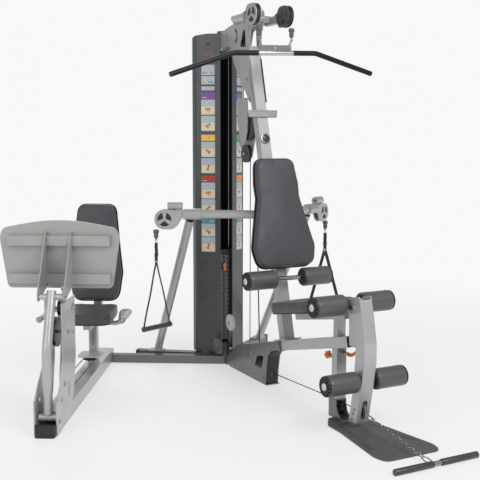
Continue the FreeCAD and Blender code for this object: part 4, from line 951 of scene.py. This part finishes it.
def build_handles():
    """Stop, snap link, webbing strap with a slider, D ring, two legs and a sleeved grip."""
    reach = 0.05
    for name, side, yaw in (("left", -1, 51.5), ("right", 1, -58)):
        centre, out, across = press_wheel(side)
        wheel_frame = Matrix.Translation(centre) @ Matrix((out, across, (0, 0, 1))).transposed().to_4x4()
        turn = Matrix.Rotation(math.radians(yaw), 4, "Z")
        place = wheel_frame @ Matrix.Translation((reach, 0, 0)) @ turn
        items = stop_body(Matrix.Translation((0, 0, -0.058)))
        items.append(oval_link("snap", (0, 0, -0.112), (0, 0, -0.14), 0.006, 0.002, CHROME, (0, 1, 0)))
        items.append(strap_run("strap_front", (0, -0.0016, -0.136), (0, -0.0014, -0.236), 0.02,
                               (1, 0, 0)))
        items.append(strap_run("strap_back", (0, 0.0016, -0.136), (0, 0.0014, -0.236), 0.02, (1, 0, 0)))
        items.append(tube("strap_fold", [(-0.008, 0, -0.1355), (0.008, 0, -0.1355)], 0.0026, WEBBING,
                          smooth_path=False))
        items.append(block("slider", (0.024, 0.0085, 0.016), (0, 0, -0.2), BLACK_PLASTIC, edge=0.0018))
        items.append(block("slider_bar", (0.021, 0.0095, 0.0025), (0, 0, -0.2), STOP_GREY, edge=0.0008))
        items.append(tube("d_ring", [(-0.012, 0, -0.234), (0.012, 0, -0.234), (0.01, 0, -0.246),
                                     (0, 0, -0.25), (-0.01, 0, -0.246)], 0.002, CHROME, closed=True))
        for sign in (-1, 1):
            foot = (sign * 0.098, 0, -0.6)
            across_leg = (1, 0, 0) if side > 0 else (0.35, 1, 0)
            items.append(strap_run("leg", (sign * 0.001, 0, -0.24), foot, 0.019, across_leg))
            for stitch in range(3):
                low = Vector((sign * 0.001, 0, -0.24)).lerp(Vector(foot), 0.06 + 0.03 * stitch)
                items.append(strap_run("leg_stitch", low, low.lerp(Vector(foot), 0.012), 0.0205,
                                       across_leg, STITCH))
        grip = [(0.008, -0.105), (0.015, -0.105), (0.0155, -0.102), (0.0155, -0.094), (0.014, -0.092)]
        grip += [(0.0142 + (0.0006 if k % 2 else 0.0), -0.088 + k * 0.008) for k in range(23)]
        grip += [(0.014, 0.092), (0.0155, 0.094), (0.0155, 0.102), (0.015, 0.105), (0.008, 0.105)]
        items.append(lathe("grip", grip, DARK_FOAM,
                           Matrix.Translation((0, 0, -0.614)) @ Matrix.Rotation(math.pi / 2, 4, "Y"), 32))
        for sign in (-1, 1):
            items.append(lathe("grip_end", [(0.003, 0.0), (0.015, 0.0), (0.0152, 0.004), (0.013, 0.006),
                                            (0.003, 0.0062)], BLACK_PLASTIC,
                               along_x((sign * 0.0985, 0, -0.614), sign), 32))
        handle = merged(name + "_strap_handle", items)
        handle.data.transform(place)
        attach(handle, name + "_grip")
        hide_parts(name + "_handle")


# ------------------------------------------------------------------ chain and row bar
def build_row_bar():
    """Snap links, a chain of sixteen links, and the bar with two foam sleeves."""
    start = Vector((0, -0.897, 0.086))
    end = Vector((0, -1.37, 0.017))
    run = (end - start).normalized()
    items = []
    items.append(oval_link("snap_top", start, start + run * 0.062, 0.014, 0.003, CHROME, (0, 0, 1)))
    items.append(oval_link("snap_low", end - run * 0.05, end - run * -0.012, 0.015, 0.003, CHROME,
                           (0, 0, 1)))
    chain_start = start + run * 0.056
    chain_end = end - run * 0.046
    length = (chain_end - chain_start).length
    count = 16
    pitch = length / count
    upward = run.cross(Vector((1, 0, 0))).normalized()
    for number in range(count):
        first = chain_start + run * (number * pitch - 0.003)
        last = chain_start + run * ((number + 1) * pitch + 0.003)
        turned = (Vector((1, 0, 0)) + upward * (0.25 if number % 4 == 1 else -0.15)).normalized()
        flat = upward if number % 2 else turned
        items.append(oval_link("link", first, last, 0.0085, 0.0024, CHROME, flat))
    for low, high in ((-0.203, 0.0), (0.044, 0.247)):
        reach = high - low
        skin = [(0.01, 0.0), (0.014, 0.0), (0.015, 0.002), (0.015, reach - 0.002), (0.014, reach),
                (0.01, reach)]
        items.append(lathe("sleeve", skin, DARK_FOAM, along_x((low, -1.388, 0.015)), 48))
    items.append(lathe("middle", [(0.006, -0.006), (0.011, -0.006), (0.011, 0.05), (0.006, 0.05)], CHROME,
                       along_x((0, -1.388, 0.015)), 48))
    for k in range(10):
        items.append(lathe("knurl", [(0.0105, 0.0), (0.0114, 0.0006), (0.0105, 0.0012)], BRUSHED,
                           along_x((0.004 + 0.004 * k, -1.388, 0.015)), 40, caps=False))
    items.append(oval_link("collar_eye", (0.022, -1.372, 0.016), (0.022, -1.388, 0.016), 0.01, 0.0022,
                           CHROME, (0, 0, 1)))
    bar = merged("row_bar_and_chain", items)
    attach(bar, "row")
    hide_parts("row_bar")


# ------------------------------------------------------------------ knob, latch, pin
OUTLINE_STEPS = 72


def bent_outline(radius, waves, depth):
    """A closed outline whose radius rises and falls waves times."""
    result = []
    for k in range(OUTLINE_STEPS):
        angle = 2 * math.pi * k / OUTLINE_STEPS
        reach = radius + depth * math.cos(waves * angle)
        result.append((reach * math.cos(angle), reach * math.sin(angle)))
    return result


def build_adjusters():
    """The star knob, the crescent latch and the selector pin's grip."""
    place = facing((0, -0.566, 0.305), (0, -1, 0))
    back = [lathe("star_hub", [(0.008, -0.006), (0.0105, -0.006), (0.0125, 0.0), (0.006, 0.0005)], ORANGE,
                  facing((0, -0.5735, 0.305), (0, 1, 0)), 32)]
    star = slab("star", bent_outline(0.0185, 6, 0.003), 0.015, ORANGE, place, 0.003, low=0.0005)
    hub = lathe("star_hub", [(0.01, 0.015), (0.01, 0.018), (0.008, 0.0195), (0.001, 0.0198)], ORANGE,
                place, 32)
    rod = lathe("star_rod", [(0.0055, 0.0), (0.0055, 0.0645), (0.0045, 0.0655)], CHROME, place, 24)
    nut = lathe("star_nut", [(0.011, 0.05), (0.011, 0.06)], BRUSHED, place, 6)
    knob = merged("star_adjuster", [star, hub, rod, nut] + back)
    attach(knob, "star")
    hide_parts("star_knob")

    place = facing((0, -0.766, 0.35), (0, -1, 0))
    arc = [(0.03 * math.cos(turn), 0.012 - 0.022 * math.sin(turn))
           for turn in [math.radians(10 * k) for k in range(19)]]
    arc += [(0.022 * math.cos(turn), 0.012 - 0.008 * math.sin(turn))
            for turn in [math.radians(180 - 12 * k) for k in range(16)]]
    crescent = slab("latch_crescent", list(reversed(arc)), 0.013, ORANGE, place, 0.0028, low=0.0005)
    rod = lathe("latch_rod", [(0.0052, 0.0), (0.0058, 0.001), (0.0058, 0.0685), (0.0045, 0.069)], CHROME,
                facing((0, -0.697, 0.35), (0, -1, 0)), 24)
    collar = lathe("latch_collar",
                   [(0.006, 0.0), (0.0098, 0.0), (0.0098, 0.01), (0.0085, 0.012), (0.006, 0.012)],
                   BRUSHED, facing((0, -0.698, 0.35), (0, -1, 0)), 24)
    latch = merged("crescent_latch", [crescent, rod, collar])
    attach(latch, "latch")
    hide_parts("seat_latch")

    place = facing((0, 0.6112, 0.602), (0, -1, 0))
    grip = [(-0.009, -0.031), (0.009, -0.031), (0.0105, 0.004), (0.008, 0.017), (-0.008, 0.017),
            (-0.0105, 0.004)]
    handle = slab("pin_grip", rounded_outline(grip, 0.006, 5), 0.0148, ORANGE, place, 0.0035, low=0.0006)
    ribs = [block("pin_rib", (0.013, 0.0018, 0.0012), (0, -0.022 + 0.0055 * k, 0.0152), ORANGE, place,
                  0.0005) for k in range(6)]
    shank = lathe("pin_shank", [(0.002, -0.098), (0.0046, -0.094), (0.0046, 0.001), (0.004, 0.002)],
                  CHROME, place, 24)
    pin = merged("pin_with_grip", [handle, shank] + ribs)
    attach(pin, "pin")
    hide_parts("selector_pin")


# ------------------------------------------------------------------ covers, platform and small hardware
def build_covers():
    """The two round pulley covers near the stack's foot, with their bolts."""
    light = lathe("light_cover", [(0.046, -0.0005), (0.0506, 0.0), (0.0508, 0.01), (0.049, 0.013),
                                  (0.03, 0.0142), (0.012, 0.0145), (0.001, 0.0146)], COVER_GREY,
                  along_x((-0.0293, 0.45, 0.272), -1), 64)
    dark = lathe("dark_cover", [(0.046, -0.0005), (0.0506, 0.0), (0.0508, 0.018), (0.049, 0.0208),
                                (0.03, 0.0216), (0.012, 0.0218), (0.001, 0.0219)], DISC_GREY,
                 along_x((-0.0843, 0.5, 0.123), -1), 64)
    items = [light, dark]
    items += hex_head(along_x((-0.0438, 0.45, 0.272), -1), 0.007, 0.005)
    items += hex_head(along_x((-0.106, 0.5, 0.123), -1), 0.007, 0.005)
    covers = merged("pulley_covers", items)
    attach(covers, "frame")
    strap = [(0.484, 0.11), (0.5, 0.11), (0.462, 0.222), (0.45, 0.222)]
    band = slab("cover_strap_band", strap, 0.0012, CHROME, SIDEWAYS, low=-0.0315)
    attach(band, "frame")


def build_platform():
    """The moulded foot platform with a rolled rim and its grooves."""
    left = [(-0.055, -0.665), (-0.11, -0.745), (-0.112, -0.85), (-0.16, -1.19), (-0.14, -1.255)]
    right = [(0.155, -1.255), (0.175, -1.19), (0.12, -0.85), (0.118, -0.745), (0.055, -0.665)]
    radii = [0.02, 0.07, 0.2, 0.12, 0.042, 0.042, 0.12, 0.2, 0.07, 0.02]
    outline = rounded_outline(left + right, radii, 8)
    body = slab("platform_body", outline, 0.0098, GREY_PLASTIC, None, 0.0035)
    items = [body]
    for side, shift in ((-1, 0.0), (1, 0.006)):
        points = [(side * (0.07 + 0.05 * (k / 8) ** 1.4) + shift, -0.78 - 0.33 * k / 8, 0.0096)
                  for k in range(9)]
        items.append(tube("groove", points, 0.0016, BLACK_PLASTIC, ring=2))
        points = [(side * (0.086 + 0.046 * (k / 8) ** 1.6) + shift, -0.87 - 0.26 * k / 8, 0.0094)
                  for k in range(9)]
        items.append(tube("ridge", points, 0.0022, GREY_PLASTIC, ring=2))
    points = [(-0.05 + 0.1 * k / 8, -0.8 - 0.03 * math.sin(math.pi * k / 8), 0.0094) for k in range(9)]
    items.append(tube("ridge", points, 0.0022, GREY_PLASTIC, ring=2))
    platform = merged("moulded_platform", items)
    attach(platform, "frame")
    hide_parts("foot_platform")


def build_leg_press_trim():
    """Pale hand grips with ball ends, the wheels' bolts and the crown pivot's bolts."""
    items = []
    for side in (-1, 1):
        place = PRESS_FRAME @ facing((side * 0.228, 0.965, 0.3944), (0, -1, 0.0067))
        grip = [(0.0132, 0.0), (0.0158, 0.001)]
        grip += [(0.0158 + (0.0005 if k % 2 else 0.0), 0.008 + 0.008 * k) for k in range(25)]
        grip += [(0.016, 0.212), (0.0145, 0.2145), (0.0132, 0.215)]
        items.append(lathe("press_grip", grip, GRIP_PALE, place, 40))
        ball = [(0.018 * math.sin(math.radians(turn)), 0.2305 - 0.018 * math.cos(math.radians(turn)))
                for turn in range(40, 179, 9)]
        items.append(lathe("grip_ball", ball, CHROME, place, 40))
    grips = merged("press_hand_grips", items)
    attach(grips, "frame")
    items = []
    for y, z in ((0.325, 0.548), (0.24, 0.447)):
        for side in (-1, 1):
            items += hex_head(PRESS_FRAME @ along_x((side * 0.0564, y, z), side), 0.009, 0.006)
    bolts = merged("press_bolts", items)
    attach(bolts, "frame")
    items = []
    for side in (-1, 1):
        items += hex_head(PRESS_FRAME @ along_x((side * 0.0592, 0.16, 0.635), side), 0.009, 0.006)
    pivots = merged("crown_pivot_bolts", items)
    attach(pivots, "swing")


def build_developer_trim():
    """Bolts, pivot caps, the dark slot rim and the pulley's tyre of the leg developer."""
    items = []
    for y, z in ((-0.846, 0.082), (-0.838, 0.052), (-0.858, 0.105)):
        for side in (-1, 1):
            items += hex_head(along_x((side * 0.0352, y, z), side), 0.0065, 0.005)
    for side in (-1, 1):
        items.append(lathe("pivot_cap",
                           [(0.002, 0.0), (0.0125, 0.0), (0.0125, 0.004), (0.01, 0.0065), (0.002, 0.007)],
                           BLACK_PLASTIC, along_x((side * 0.0462, -0.835, 0.597), side), 32))
    rim = []
    for k in range(32):
        angle = 2 * math.pi * k / 32
        z = 0.107 + 0.0112 * math.sin(angle) + math.copysign(0.034, math.sin(angle + 0.001))
        rim.append((0.0112 * math.cos(angle), -0.8745 - (z - 0.04) * 0.207, z))
    items.append(tube("slot_rim", rim, 0.0018, BLACK_PLASTIC, closed=True, smooth_path=False))
    tyre = [(0.0345, -0.0084), (0.0404, -0.0083), (0.0404, -0.0066), (0.0362, -0.003), (0.0362, 0.003),
            (0.0404, 0.0066), (0.0404, 0.0083), (0.0345, 0.0084)]
    items.append(lathe("tyre", tyre, NYLON, along_x((0, -0.858, 0.105)), 64))
    trim = merged("developer_hardware", items)
    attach(trim, "developer")


build_pads()
build_rollers()
build_placards()
build_weight_labels()
build_column_trim()
build_bolts()
build_lat_links()
build_head_openings()
build_handles()
build_row_bar()
build_adjusters()
build_covers()
build_platform()
build_leg_press_trim()
build_developer_trim()


# ------------------------------------------------------------------ floor, light, camera
CAMERA_SPOT = (-2.327, -4.084, 1.391)
CAMERA_TURN = (math.radians(90 - 6.863), math.radians(-0.072), math.radians(-27.456))
LAMPS = (("key", (0.7, -4.5, 4.5), (-0.2, -0.2, 0.9), 3.0, 165),
         ("fill", (-4.4, -1.8, 2.6), (0, 0, 0.9), 3.0, 50),
         ("rim", (0.5, 4.2, 3.8), (0, 0, 1.0), 3.0, 90))


def studio():
    """A pale floor that fades into a bright surround, three soft lamps and the camera."""
    data = bpy.data.meshes.new("studio_floor")
    data.from_pydata([(-30, -30, 0), (30, -30, 0), (30, 30, 0), (-30, 30, 0)], [], [(0, 1, 2, 3)])
    floor = bpy.data.objects.new("studio_floor", data)
    bpy.context.collection.objects.link(floor)
    shader = Shader("studio_floor_paint", Specular_IOR_Level=0.2)
    base = shader.mix(shader.drift(0.6, 3), (0.87, 0.87, 0.87), (0.92, 0.92, 0.92))
    data.materials.append(shader.finish(base, shader.drift(3, 3, 0.55, 0.65)))
    distance = shader.add("ShaderNodeVectorMath", operation="LENGTH")
    shader.join(shader.place, distance.inputs[0])
    glow = shader.add("ShaderNodeEmission")
    glow.inputs["Strength"].default_value = 0.94
    blend = shader.add("ShaderNodeMixShader")
    shader.join(shader.spread(distance.outputs["Value"], 1.0, 3.8, 0.6, 1.0), blend.inputs["Fac"])
    shader.join(shader.principled.outputs["BSDF"], blend.inputs[1])
    shader.join(glow.outputs["Emission"], blend.inputs[2])
    shader.join(blend.outputs["Shader"], shader.tree.nodes["Material Output"].inputs["Surface"])

    world = bpy.data.worlds.new("studio")
    bpy.context.scene.world = world
    world.use_nodes = True
    tree = world.node_tree
    background = tree.nodes["Background"]
    background.inputs["Color"].default_value = (1.0, 1.0, 1.0, 1)
    seen = tree.nodes.new("ShaderNodeLightPath")
    strength = tree.nodes.new("ShaderNodeMapRange")
    strength.inputs["To Min"].default_value = 0.42
    strength.inputs["To Max"].default_value = 0.94
    tree.links.new(seen.outputs["Is Camera Ray"], strength.inputs["Value"])
    tree.links.new(strength.outputs["Result"], background.inputs["Strength"])
    for name, spot, aim, width, power in LAMPS:
        light = bpy.data.lights.new(name, "AREA")
        light.size = width
        light.energy = power
        item = bpy.data.objects.new(name, light)
        item.location = spot
        item.rotation_euler = (Vector(aim) - Vector(spot)).to_track_quat("-Z", "Y").to_euler()
        bpy.context.collection.objects.link(item)

    camera = bpy.data.cameras.new("camera")
    camera.sensor_width = 36
    camera.lens = 848.22 / 480 * 36
    item = bpy.data.objects.new("camera", camera)
    item.location = CAMERA_SPOT
    item.rotation_euler = CAMERA_TURN
    bpy.context.collection.objects.link(item)
    bpy.context.scene.camera = item
    bpy.context.scene.view_settings.view_transform = "Standard"


studio()
